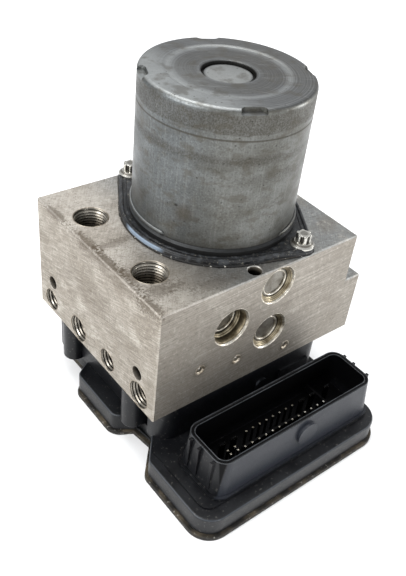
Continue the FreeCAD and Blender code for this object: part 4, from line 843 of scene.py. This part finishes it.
# Sintered ferrite: nearly black and grainy
FERRITE = Metal("ferrite_magnet", "2E2F31", "242527", 0.6, 0.3, (1.2, 1.2, 1.2), 0.05)
# Moulded rubber: matt black, dusty, with pale flecks
SEAL_RUBBER = Moulding("seal_rubber", "0C0C0D", "4A4439", 0.62, 0.6, 0.7, 0.06, 0.3, 0.8)
# Glass-filled nylon: satin black, with painted shade inside the plug shroud, a painted sheen on the
# shroud's front and painted highlights on rounded edges
HOUSING_PLASTIC = Moulding("glass_filled_housing", "0A0B0E", "3A3E43", 0.33, 0.06, 0.5, 0.02, 0.26,
                           0.08, 0.7,
                           well=((-47.9, -47.5, 34.3, 34.7), (-76.4, -76.0, -54.5, -54.1),
                                 (5.0, 6.0, 31.0, 32.0)),
                           painted_sheen=((-60.0, -50.0, 40.0, 50.0), (-79.5, -79.0, -76.6, -76.2),
                                     (12.0, 14.0, 31.0, 32.0)))
# The same nylon as a dark grey line: a painted highlight on the shroud's rim, and its skin rubbed off
EDGE_HIGHLIGHT_AND_RUB = Moulding("rubbed_housing_edge", "212427", "4A4F55", 0.28, 0.5, 0.6, 0.02, 0.5)
# Moulded nylon low on the unit, where dirt gathers: matt brown-black
LID_PLASTIC = Moulding("dusty_lid", "191714", "5A5142", 0.62, 0.75, 0.8, 0.06, 0.3, 0.3)
# Moulded phenolic: satin brown
BROWN_MOULDING = Moulding("brown_moulding", "5B4A38", "7A6A55", 0.5, 0.3, 0.6, 0.02)
# Pressed carbon: matt black
CARBON = Moulding("pressed_carbon", "151515", "2C2C2C", 0.5, 0.4, 0.4, 0.03)


def write_mesh(name: str, points: Array, wrap_rows: bool, wrap_columns: bool,
               ridge: Optional[Array] = None) -> bpy.types.Object:
    """Makes a smooth mesh from a grid of points.

    A quad joins each point to the next in its row and in its column, and the last
    row or column joins the first where it wraps. Where the sum of point times
    facing area comes out negative, the faces look inwards, and they are turned.

    Args:
        name: The object's name.
        points: Rows by columns by three, in millimetres.
        wrap_rows: True where the last row meets the first.
        wrap_columns: True where the last column meets the first.
        ridge: Painted light for each point that the material reads, from 0 to 1.

    Returns:
        The new object, linked to the scene.
    """
    rows, columns, _ = points.shape
    row = np.arange(rows if wrap_rows else rows - 1)
    column = np.arange(columns if wrap_columns else columns - 1)
    i, j = np.meshgrid(row, column, indexing="ij")
    i_next, j_next = (i + 1) % rows, (j + 1) % columns
    quads = np.stack([i * columns + j, i * columns + j_next,
                      i_next * columns + j_next, i_next * columns + j], -1).reshape(-1, 4)
    corners = points.reshape(-1, 3)[quads]
    area = np.cross(corners[:, 2] - corners[:, 0], corners[:, 3] - corners[:, 1])
    if np.sum(corners.mean(1) * area) < 0.0:
        quads = quads[:, ::-1]
    mesh = bpy.data.meshes.new(name)
    mesh.vertices.add(rows * columns)
    mesh.vertices.foreach_set("co", (points * MM).astype(np.float32).ravel())
    mesh.loops.add(quads.size)
    mesh.loops.foreach_set("vertex_index", quads.astype(np.int32).ravel())
    mesh.polygons.add(len(quads))
    mesh.polygons.foreach_set("loop_start", np.arange(0, quads.size, 4, dtype=np.int32))
    mesh.polygons.foreach_set("use_smooth", np.ones(len(quads), bool))
    if ridge is not None:
        mesh.attributes.new(PAINTED_LIGHT, "FLOAT", "POINT").data.foreach_set(
            "value", ridge.astype(np.float32).ravel())
    mesh.update(calc_edges=True)
    mesh.validate()
    made = bpy.data.objects.new(name, mesh)
    bpy.context.scene.collection.objects.link(made)
    return made


def dress(made: bpy.types.Object, material: bpy.types.Material) -> None:
    """Gives an object its one material."""
    made.data.materials.clear()
    made.data.materials.append(material)


def settle(made: bpy.types.Object, material: bpy.types.Material) -> None:
    """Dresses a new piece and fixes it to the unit's body.

    Args:
        made: The new piece.
        material: Its material.
    """
    dress(made, material)
    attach(made, "unit")
    LOG.info("made %s, %d faces", made.name, len(made.data.polygons))


def full_turn(count: int) -> Array:
    """Angles spread evenly round a circle, in radians."""
    return np.linspace(0.0, 2.0 * np.pi, count, endpoint=False)


def basis_of(axis: Triple) -> Array:
    """Two directions across an axis, and the axis, by cross products.

    Args:
        axis: A unit vector along X, Y or Z.

    Returns:
        The three directions as rows.
    """
    forward = np.array(axis, float)
    helper = np.array([0.0, 1.0, 0.0]) if abs(forward[2]) > 0.5 else np.array([0.0, 0.0, 1.0])
    across = np.cross(helper, forward)
    across /= np.linalg.norm(across)
    return np.array([across, np.cross(forward, across), forward])


def ragged(count: int, low: float, high: float) -> Array:
    """A closed run of values that wanders between two bounds, as a sum of six waves.

    Args:
        count: How many values.
        low: The least of them.
        high: The most of them.

    Returns:
        The values. They are all alike where the bounds are.
    """
    turn = full_turn(count)
    waves = sum(np.sin(turn * k + 1.7 * k * k) / math.sqrt(k) for k in (3, 7, 13, 29, 61, 97))
    return low + (high - low) * (waves - waves.min()) / (waves.max() - waves.min())


def turned_ring(profile: Sequence[Sequence[float]], mouth: Sequence[float], axis: Triple,
                swell: Optional[Array] = None) -> Array:
    """A closed profile carried round an axis.

    A point lies at the mouth, less depth times the axis, plus radius times the
    direction across the axis for its angle. The swell scales the radius.

    Args:
        profile: Radius and depth below the mouth, round the section.
        mouth: The middle of the bore's mouth.
        axis: The direction out of the bore.
        swell: A factor on the radius for each angle.

    Returns:
        A grid that closes on itself in both directions.
    """
    section = np.array([point[:2] for point in profile], float)
    angle = full_turn(RING_SIDES)
    across, up, forward = basis_of(axis)
    ring = np.cos(angle)[:, None] * across + np.sin(angle)[:, None] * up
    if swell is not None:
        ring = ring * swell[:, None]
    return (np.array(mouth) + section[:, 0, None, None] * ring[None, :, :]
            - section[:, 1, None, None] * forward)


def evenly(path: Array, count: int) -> Array:
    """Spreads points evenly by length over a closed path.

    Args:
        path: Points of the path, in order.
        count: How many points to spread.

    Returns:
        The new points.
    """
    closed = np.vstack([path, path[:1]])
    run = np.concatenate([[0.0], np.cumsum(np.linalg.norm(np.diff(closed, axis=0), axis=1))])
    at = np.linspace(0.0, run[-1], count, endpoint=False)
    return np.stack([np.interp(at, run, closed[:, k]) for k in range(path.shape[1])], -1)


def sweep_ring(path: Array, reach: Array, sides: int) -> Array:
    """A round bar along a closed flat path.

    Each section is a circle in the plane of the path's outward normal and Z. The
    outward normal is the path's tangent turned a quarter turn clockwise.

    Args:
        path: Points of the closed path, anticlockwise seen from above.
        reach: The bar's radius at each point.
        sides: Points in each section.

    Returns:
        A grid of points, one row for each point of the path.
    """
    tangent = np.roll(path, -1, 0) - np.roll(path, 1, 0)
    tangent /= np.linalg.norm(tangent, axis=1, keepdims=True)
    outward = np.stack([tangent[:, 1], -tangent[:, 0], np.zeros(len(path))], -1)
    angle = full_turn(sides)
    offset = (outward[:, None, :] * np.cos(angle)[None, :, None]
              + np.array([0.0, 0.0, 1.0]) * np.sin(angle)[None, :, None])
    return path[:, None, :] + offset * reach[:, None, None]


@dataclass
class ValveBlock:
    """The drilled block: threads in its ports, staked rings round its plugs, peened ball seats."""

    front: float = -44.0
    back: float = 44.0
    # Real turns are 1 mm apart. These are as coarse as they look in a picture
    pitch: float = 1.35
    # Height of a ridge, and depth that light reaches, in shares of the bore's radius
    ridge_share: float = 0.085
    light_reach: float = 0.98
    # Light in a root, in shares of the light on a crest
    root_light: float = 0.25
    # The triangle wave is stretched and lowered, so that its crests and roots come out flat
    stretch: float = 1.25
    lowering: float = 0.1
    # From the bore's wall to the roots, and to the sleeve's hidden back
    root_gap: float = 0.05
    back_gap: float = 0.12
    rows_per_turn: int = 12
    columns: int = 72
    lead_in: float = 1.0
    run_out: float = 2.5
    # The port's mouth lies above the end of its thread
    mouth_rise: float = 0.3
    mouth_bead: float = 0.16
    # The bead's middle lies this share of its radius outside the bore, and this deep
    bead_out: float = 0.6
    bead_sink: float = 0.05
    bead_sides: int = 10
    # Depth of a plug's face
    inset: float = 2.4
    deep_inset: float = 6.0
    # Name, X, Z and whether the plug sits deep
    plugs: tuple[tuple[str, float, float, bool], ...] = (
        ("pump", 0.0, 74.4, False),
        ("accumulator", 0.0, 50.5, False),
        ("damper", -21.8, 62.6, True),
    )
    # X and Z
    balls: tuple[tuple[float, float], ...] = ((-35.5, 46.8), (-16.3, 42.8), (11.7, 36.9))
    # Profiles: radius, depth below the face and, on the steps, how much light the point gets
    bevel: Profile = ((8.74, -0.02), (8.5, 0.10), (8.14, 0.62), (8.02, 0.95), (8.3, 1.15),
                      (8.8, 1.15), (8.95, 0.3), (8.85, 0.0))
    steps: Profile = ((8.1, 0.9, 0.2), (8.0, 0.92, 0.9), (7.65, 0.95, 1.0), (7.6, 1.33, 0.5),
                      (7.55, 1.37, 0.05), (7.45, 1.38, 0.8), (7.2, 1.40, 1.0), (7.15, 1.78, 0.5),
                      (7.1, 1.82, 0.05), (7.0, 1.83, 0.8), (6.8, 1.85, 1.0), (6.75, 2.2, 0.3),
                      (6.45, 2.3, 0.1), (6.4, 2.7, 0.0), (8.3, 2.7, 0.0), (8.3, 0.9, 0.0))
    deep_steps: Profile = ((8.1, 0.95, 0.3), (7.85, 1.3, 1.0), (7.6, 2.6, 0.55), (7.5, 3.6, 0.25),
                           (7.45, 4.1, 0.05), (7.3, 4.15, 0.8), (7.15, 4.2, 1.0), (7.1, 4.75, 0.3),
                           (7.0, 4.8, 0.05), (6.8, 4.85, 1.0), (6.75, 5.5, 0.3), (6.4, 5.6, 0.1),
                           (6.35, 6.3, 0.0), (8.3, 6.3, 0.0), (8.3, 0.95, 0.0))
    lip: Profile = ((1.05, 0.75), (1.25, 0.35), (1.6, 0.10), (2.05, -0.10), (2.4, -0.03),
                    (2.65, 0.12), (2.3, 0.6), (1.6, 0.8))
    # Radius, and depth below the plug's face
    rim: Profile = ((6.05, 0.02), (5.95, -0.2), (5.6, -0.26), (5.3, -0.1), (5.2, 0.6), (6.0, 0.6))
    # Least and most that a staked ring and a punched lip swell
    ring_swell: tuple[float, float] = (0.992, 1.0)
    lip_swell: tuple[float, float] = (0.9, 1.12)

    def thread(self, mount: dict[str, Any], material: bpy.types.Material) -> None:
        """Makes a threaded sleeve that lines a plain bore.

        The inner radius is the bore's less a ridge: height times a clipped triangle
        wave of (distance / pitch - angle / full turn), faded in at the mouth and out
        at the bottom. The outer wall is a plain cylinder hidden in the metal.

        Args:
            mount: The record's threaded mount.
            material: The thread's material.
        """
        centre = np.array(mount["pos_m"]) / MM
        radius, length = mount["dims"]["r_mm"], mount["dims"]["length_mm"]
        rows = int(length / self.pitch * self.rows_per_turn)
        along = np.linspace(-length / 2.0, length / 2.0, rows)
        angle = full_turn(self.columns)
        phase = (along[:, None] / self.pitch - angle[None, :] / (2.0 * np.pi)) % 1.0
        wave = np.clip((1.0 - np.abs(2.0 * phase - 1.0)) * self.stretch - self.lowering, 0.0, 1.0)
        wave *= (np.clip((length / 2.0 - along) / self.lead_in, 0.0, 1.0)
                 * np.clip((along + length / 2.0) / self.run_out, 0.0, 1.0))[:, None]
        inner = radius - self.root_gap - self.ridge_share * radius * wave
        outer = np.full((2, self.columns), radius + self.back_gap)
        distance = np.concatenate([inner, outer])
        height = np.concatenate([along, [length / 2.0, -length / 2.0]])
        across, up, forward = basis_of(mount["axis"])
        points = (centre + distance[..., None] * (np.cos(angle)[None, :, None] * across
                                                  + np.sin(angle)[None, :, None] * up)
                  + height[:, None, None] * forward)
        # The deeper a turn lies, the less light reaches it
        light = np.clip(1.0 - (length / 2.0 - along) / (self.light_reach * radius), 0.0, 1.0)
        lit = (self.root_light + (1.0 - self.root_light) * wave) * light[:, None]
        ridge = np.concatenate([lit, np.zeros((2, self.columns))])
        sleeve = write_mesh("thread_" + mount["name"], points, True, True, ridge)
        settle(sleeve, material)

    def mouth(self, mount: dict[str, Any], material: bpy.types.Material) -> None:
        """Makes the rounded bead at a port's mouth: a small circle carried round the port.

        Args:
            mount: The record's threaded mount.
            material: The bead's material.
        """
        turn = full_turn(self.bead_sides)
        section = np.stack([mount["dims"]["r_mm"] + self.mouth_bead * (self.bead_out + np.cos(turn)),
                            self.mouth_bead * np.sin(turn) + self.bead_sink], -1)
        rise = (mount["dims"]["length_mm"] / 2.0 + self.mouth_rise) * basis_of(mount["axis"])[2]
        bead = turned_ring(section, np.array(mount["pos_m"]) / MM + rise, mount["axis"])
        settle(write_mesh("mouth_" + mount["name"], bead, True, True), material)

    def staked_plug(self, plug: tuple[str, float, float, bool], side: float,
                    bright: bpy.types.Material, golden: bpy.types.Material) -> None:
        """Makes a plugged bore's bright bevel, the staked steps below it and the plug's rim.

        Args:
            plug: The bore's name, its X and Z and whether its plug sits deep.
            side: -1 on the front face, 1 on the rear face.
            bright: The material of the bevel and the rim.
            golden: The material of the steps.
        """
        name, x, z, deep = plug
        mouth, axis = (x, self.front if side < 0.0 else self.back, z), (0.0, side, 0.0)
        steps, floor = (self.deep_steps, self.deep_inset) if deep else (self.steps, self.inset)
        rim = tuple((radius, floor + depth) for radius, depth in self.rim)
        end = "front" if side < 0.0 else "rear"
        for label, profile, material, swell in (
                ("bevel", self.bevel, bright, None),
                ("staked_ring", steps, golden, ragged(RING_SIDES, *self.ring_swell)),
                ("plug_rim", rim, bright, None)):
            ring = turned_ring(profile, mouth, axis, swell)
            light = np.array([point[2:] or (1.0,) for point in profile]) * np.ones(RING_SIDES)
            settle(write_mesh(f"{name}_{label}_{end}", ring, True, True, light), material)

    def peened_seat(self, index: int, x: float, z: float, material: bpy.types.Material) -> None:
        """Makes the ragged lip that is punched over a ball, a little proud of the face.

        Args:
            index: The ball's number, from the left.
            x: Where the ball lies along X.
            z: Where it lies along Z.
            material: The lip's material.
        """
        swell = ragged(RING_SIDES, *self.lip_swell)
        ring = turned_ring(self.lip, (x, self.front, z), (0.0, -1.0, 0.0), swell)
        settle(write_mesh(f"peened_seat_{index}", ring, True, True), material)

    def build(self, mounts: list[dict[str, Any]]) -> None:
        """Makes a thread in every threaded mount of the record, then plugs and ball seats.

        Args:
            mounts: The record's mounts.
        """
        thread, bright, golden = CutThread().build(), BRIGHT_BEVEL.build(), STAKED_RING.build()
        punched = PEENED_LIP.build()
        for mount in mounts:
            if mount["kind"] == "threaded_hole":
                self.thread(mount, thread)
                self.mouth(mount, punched)
        for plug in self.plugs:
            for side in (-1.0, 1.0):
                self.staked_plug(plug, side, bright, golden)
        for index, (x, z) in enumerate(self.balls, 1):
            self.peened_seat(index, x, z, punched)


@dataclass
class PumpMotor:
    """The motor: seam ridge on the can's foot, rolled rim and squeezed gasket of its flange."""

    flange_radius: float = 38.2
    ear_radius: float = 5.0
    bolt_circle: float = 41.603
    bolt_angle: float = -69.0
    gasket_z: float = 83.9
    plate_top: float = 85.9
    # Points on the outline before and after they are spread evenly
    fine_count: int = 4000
    count: int = 420
    # The foot's ridge: radius and height of its middle line, and half its width
    ridge_radius: float = 33.8
    ridge_z: float = 89.6
    ridge_reach: float = 0.55
    # The ridge is taller than wide, and grows over a fortieth of its arc from nearly nothing
    ridge_stretch: float = 1.6
    ridge_growth: float = 40.0
    ridge_least: float = 0.02
    ridge_points: int = 120
    ridge_sides: int = 10
    # Name, and start and end in degrees
    arcs: tuple[tuple[str, float, float], ...] = (
        ("foot_ridge_left", 110.0, 198.0),
        ("foot_ridge_right", -79.6, 60.0),
    )

    def outline(self, inset: float, z: float) -> Array:
        """The flange's outline, moved inwards.

        A point for each direction of the outward normal: on the big circle, or on
        the ear whose reach (bolt circle times cosine plus ear radius) is larger. The
        points are then spread evenly by length.

        Args:
            inset: How far inside the flange's edge the path runs.
            z: The path's height.

        Returns:
            The closed path, anticlockwise.
        """
        normal = full_turn(self.fine_count)
        way = np.stack([np.cos(normal), np.sin(normal)], -1)
        bolt = math.radians(self.bolt_angle)
        ear = np.array([math.cos(bolt), math.sin(bolt)])
        side = way @ ear
        on_ear = (np.abs(side) * self.bolt_circle + self.ear_radius) > self.flange_radius
        centre = np.sign(side)[:, None] * ear * self.bolt_circle
        points = np.where(on_ear[:, None], centre + way * (self.ear_radius - inset),
                          way * (self.flange_radius - inset))
        return np.column_stack([evenly(points, self.count), np.full(self.count, z)])

    def ridge(self, can: bpy.types.Material) -> None:
        """Makes two arcs of a rounded ridge on the can's foot, open towards the front.

        Each section is an ellipse about the foot circle that shrinks to a point at
        the arc's ends.

        Args:
            can: The can's material.
        """
        section = full_turn(self.ridge_sides)
        share = np.linspace(0.0, 1.0, self.ridge_points)
        grown = np.clip(np.minimum(share, 1.0 - share) * self.ridge_growth, self.ridge_least, 1.0)
        reach = (self.ridge_reach * grown)[:, None]
        radius = self.ridge_radius + reach * np.cos(section)[None, :]
        z = self.ridge_z + reach * self.ridge_stretch * np.sin(section)[None, :]
        for name, start, end in self.arcs:
            turn = np.radians(np.linspace(start, end, self.ridge_points))[:, None]
            points = np.stack([radius * np.cos(turn), radius * np.sin(turn), z], -1)
            settle(write_mesh(name, points, False, True), can)

    def build(self, plate: bpy.types.Material, rubber: bpy.types.Material,
              can: bpy.types.Material) -> None:
        """Makes the flange's rim, the gasket's bead and the foot's ridge.

        Args:
            plate: The flange's material.
            rubber: The gasket's material.
            can: The can's material.
        """
        # Name, inset, height, least and most radius, sides, material and slot
        beads = (
            ("flange_rolled_rim", 1.1, self.plate_top - 0.15, 0.75, 0.75, 12, plate, Slot.PLATE),
            ("flange_inner_bead", 2.9, self.plate_top - 0.1, 0.35, 0.35, 10, plate, Slot.PLATE),
            ("gasket_bead", 0.15, self.gasket_z, 0.3, 0.75, 10, rubber, Slot.RUBBER),
        )
        for name, inset, z, low, high, sides, material, slot in beads:
            bead = sweep_ring(self.outline(inset, z), ragged(self.count, low, high), sides)
            settle(write_mesh(name, bead, True, True), material)
        self.ridge(can)


@dataclass
class ControlUnit:
    """The moulded control unit: grey beads along the plug shroud's rim, painted highlights and rubbed
    nylon.
    """

    # Left, right, front and back of the shroud's rim, with its corner radius
    rim: Edges = (-48.4, 35.2, -76.9, -53.6)
    corner: float = 5.5
    wall: float = 1.8
    top: float = 30.7
    bead: float = 0.17
    bead_sides: int = 10
    # How far the beads stand out of the wall's sides and its top
    proud: float = 0.04
    proud_top: float = 0.05
    # Points on the outline before and after they are spread evenly
    fine_count: int = 800
    count: int = 320
    # A small turn, so that no normal lies along X or Y
    start: float = 0.001

    def loop(self, inset: float) -> Array:
        """The rim's outline moved inwards.

        A point for each direction of the outward normal lies on the corner arc of
        that quarter, and the straight sides are the jumps from arc to arc.

        Args:
            inset: How far inside the rim's edge the path runs.

        Returns:
            The closed path, anticlockwise.
        """
        left, right, front, back = self.rim
        normal = full_turn(self.fine_count) + self.start
        way = np.stack([np.cos(normal), np.sin(normal)], -1)
        middle = np.array([left + right, front + back]) / 2.0
        half = np.array([right - left, back - front]) / 2.0 - self.corner
        points = middle + np.sign(way) * half + way * (self.corner - inset)
        z = self.top - self.bead + self.proud_top
        return np.column_stack([evenly(points, self.count), np.full(self.count, z)])

    def build(self) -> None:
        """Makes a fine rounded bead on the outer and on the inner edge of the rim."""
        # Painted highlight along the rim's edges, partly rubbed nylon
        material = EDGE_HIGHLIGHT_AND_RUB.build()
        for name, inset in (("shroud_edge_outer", self.bead - self.proud),
                            ("shroud_edge_inner", self.wall - self.bead + self.proud)):
            bead = sweep_ring(self.loop(inset), np.full(self.count, self.bead), self.bead_sides)
            settle(write_mesh(name, bead, True, True), material)


@dataclass(frozen=True)
class CoilSpring:
    """A round-wire spring. It stands for a node of the model."""

    node: str
    joint: str
    # -1 towards the front, 1 towards the rear: the way from the piston to the fixed end
    side: float
    wire: float
    turns: int
    travel: float
    steps_per_turn: int = 40
    sides: int = 10
    # Radius that the wire's ends close to
    end_reach: float = 0.02

    def tube(self, low: Array, high: Array) -> Array:
        """The wire: circles across a helix that fills the node's box, closed at both ends.

        The helix turns evenly with its share of the length. Each circle lies in the
        plane of the outward direction and the tangent's cross product with it.

        Args:
            low: The box's low corner.
            high: Its high corner.

        Returns:
            A grid of points, one row for each circle.
        """
        share = np.linspace(0.0, 1.0, self.turns * self.steps_per_turn + 1)
        share = np.concatenate([share[:1], share, share[-1:]])
        reach = np.full(len(share), self.wire / 2.0)
        reach[[0, -1]] = self.end_reach
        radius = (high[0] - low[0] - self.wire) / 2.0
        rise = high[1] - low[1] - self.wire
        angle = 2.0 * np.pi * self.turns * share
        outward = np.stack([np.cos(angle), np.zeros(len(share)), np.sin(angle)], -1)
        round_way = radius * 2.0 * np.pi * self.turns
        along = np.stack([-np.sin(angle) * round_way, np.full(len(share), rise),
                          np.cos(angle) * round_way], -1)
        along /= np.linalg.norm(along, axis=1, keepdims=True)
        path = (low + high) / 2.0 + radius * outward
        path[:, 1] = low[1] + self.wire / 2.0 + rise * share
        turn = full_turn(self.sides)
        offset = (outward[:, None, :] * np.cos(turn)[None, :, None]
                  + np.cross(along, outward)[:, None, :] * np.sin(turn)[None, :, None])
        return path[:, None, :] + offset * reach[:, None, None]

    def build(self, material: bpy.types.Material) -> None:
        """Makes the spring and puts it in its node's place.

        Args:
            material: The wire's material.
        """
        low, high = (np.array(list(corner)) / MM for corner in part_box(self.node))
        made = write_mesh(self.node + "_coil", self.tube(low, high), False, True)
        settle(made, material)
        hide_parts(self.node)
        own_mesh(made)


SPRINGS = (
    CoilSpring("pump_spring_front", "pump_piston_front_stroke", -1.0, 0.8, 5, 3.0),
    CoilSpring("pump_spring_rear", "pump_piston_rear_stroke", 1.0, 0.8, 5, 3.0),
    CoilSpring("accumulator_spring_front", "accumulator_front_stroke", -1.0, 1.0, 6, 8.0),
    CoilSpring("accumulator_spring_rear", "accumulator_rear_stroke", 1.0, 1.0, 6, 8.0),
)


class NodeFinishes:
    """Which finish each carried-over node wears, by the record's material slot."""

    def by_slot(self) -> dict[Slot, bpy.types.Material]:
        """Builds one material for each slot of the record."""
        finishes = {
            Slot.BLOCK: MilledAluminium(), Slot.CAN: ZincSteel(), Slot.PLATE: CoatedPlate(),
            Slot.SCREW: ZincScrew(), Slot.PLUG: STAKED_PLUG, Slot.INNER_STEEL: GROUND_STEEL,
            Slot.SPRING: SPRING_WIRE, Slot.MAGNET: FERRITE, Slot.COPPER: WoundCopper(),
            Slot.CARBON: CARBON, Slot.PIN: TINNED_PIN, Slot.RUBBER: SEAL_RUBBER,
            Slot.HOUSING: HOUSING_PLASTIC, Slot.LID: LID_PLASTIC,
            Slot.INNER_PLASTIC: BROWN_MOULDING, Slot.BOARD: CircuitLaminate(),
        }
        return {slot: finish.build() for slot, finish in finishes.items()}

    def dress_nodes(self, frame: dict[str, Any]) -> dict[Slot, bpy.types.Material]:
        """Gives every node its slot's material.

        Args:
            frame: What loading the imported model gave.

        Returns:
            The materials by slot.
        """
        materials = self.by_slot()
        for part in frame["record"]["subparts"]:
            dress(frame["nodes"][part["node"]], materials[Slot(part["material_slot"])])
            LOG.info("dressed %s in %s", part["node"], part["material_slot"])
        return materials


@dataclass
class Studio:
    """Floor, soft lights and the camera at the photograph's place."""

    camera_mm: Triple = (-175.779, -195.682, 250.991)
    right: Triple = (0.77584, -0.62124, 0.110156)
    down: Triple = (-0.325535, -0.543712, -0.773566)
    forward: Triple = (0.540463, 0.564304, -0.624068)
    focal_px: float = 743.947
    centre_px: tuple[float, float] = (220.359, 293.678)
    frame_px: tuple[int, int] = (406, 576)
    sensor_mm: float = 36.0
    clip_m: tuple[float, float] = (0.01, 20.0)
    floor_half_mm: float = 2500.0
    room_tone: str = "F2F4F7"
    room_light: float = 0.75
    # Where the soft boxes face, in metres
    target: Triple = (0.0, 0.0, 0.06)
    # Name, place and side in metres, and watts
    boxes: tuple[tuple[str, Triple, float, float], ...] = (
        ("box_left", (-0.75, 0.05, 0.55), 0.6, 8.3),
        ("box_top", (0.1, 0.25, 0.95), 0.7, 7.0),
        ("box_right", (0.75, -0.40, 0.22), 0.3, 3.5),
        ("box_front", (-0.05, -0.90, 0.30), 0.4, 2.3),
    )

    def camera(self) -> None:
        """Places the camera: focal length and shift from the picture's size in pixels."""
        data = bpy.data.cameras.new("camera")
        width, height = self.frame_px
        data.sensor_width = self.sensor_mm
        data.lens = self.focal_px * self.sensor_mm / height
        data.shift_x = (width / 2.0 - self.centre_px[0]) / height
        data.shift_y = (self.centre_px[1] - height / 2.0) / height
        data.clip_start, data.clip_end = self.clip_m
        made = bpy.data.objects.new("camera", data)
        columns = np.array([self.right, -np.array(self.down), -np.array(self.forward)]).T
        place = Matrix(columns.tolist()).to_4x4()
        place.translation = Vector(self.camera_mm) * MM
        made.matrix_world = place
        bpy.context.scene.collection.objects.link(made)
        bpy.context.scene.camera = made

    def soft_light(self, name: str, place: Triple, size: float, watts: float) -> None:
        """Adds a square soft box that faces the unit.

        Args:
            name: The lamp's name.
            place: Where it hangs, in metres.
            size: Its side, in metres.
            watts: Its power.
        """
        data = bpy.data.lights.new(name, "AREA")
        data.shape = "SQUARE"
        data.size = size
        data.energy = watts
        lamp = bpy.data.objects.new(name, data)
        lamp.location = place
        way = Vector(self.target) - Vector(place)
        lamp.rotation_euler = way.to_track_quat("-Z", "Y").to_euler()
        bpy.context.scene.collection.objects.link(lamp)

    def floor(self) -> None:
        """Lays a wide, flat paper sweep under the unit."""
        span = np.linspace(-self.floor_half_mm, self.floor_half_mm, 3)
        x, y = np.meshgrid(span, span, indexing="xy")
        sweep = write_mesh("paper_sweep", np.stack([x, y, np.zeros_like(x)], -1), False, False)
        dress(sweep, StudioFloor().build())

    def lights(self) -> None:
        """Hangs the soft boxes and sets the even light of the room."""
        world = bpy.data.worlds.new("room")
        world.use_nodes = True
        background = world.node_tree.nodes["Background"]
        background.inputs["Color"].default_value = hex_to_linear(self.room_tone)
        background.inputs["Strength"].default_value = self.room_light
        bpy.context.scene.world = world
        for box in self.boxes:
            self.soft_light(*box)

    def build(self) -> None:
        """Sets up floor, lights and camera."""
        self.floor()
        self.lights()
        self.camera()
        bpy.context.scene.view_settings.view_transform = "Standard"
        LOG.info("studio ready")


def main() -> None:
    """Loads the frame, dresses it, adds the new pieces and sets up the studio."""
    logging.basicConfig(level=logging.INFO, format="%(message)s")
    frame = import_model()
    materials = NodeFinishes().dress_nodes(frame)
    ValveBlock().build(frame["record"]["mounts"])
    PumpMotor().build(materials[Slot.PLATE], materials[Slot.RUBBER], materials[Slot.CAN])
    ControlUnit().build()
    for spring in SPRINGS:
        spring.build(materials[Slot.SPRING])
    Studio().build()


if __name__ == "__main__":
    main()
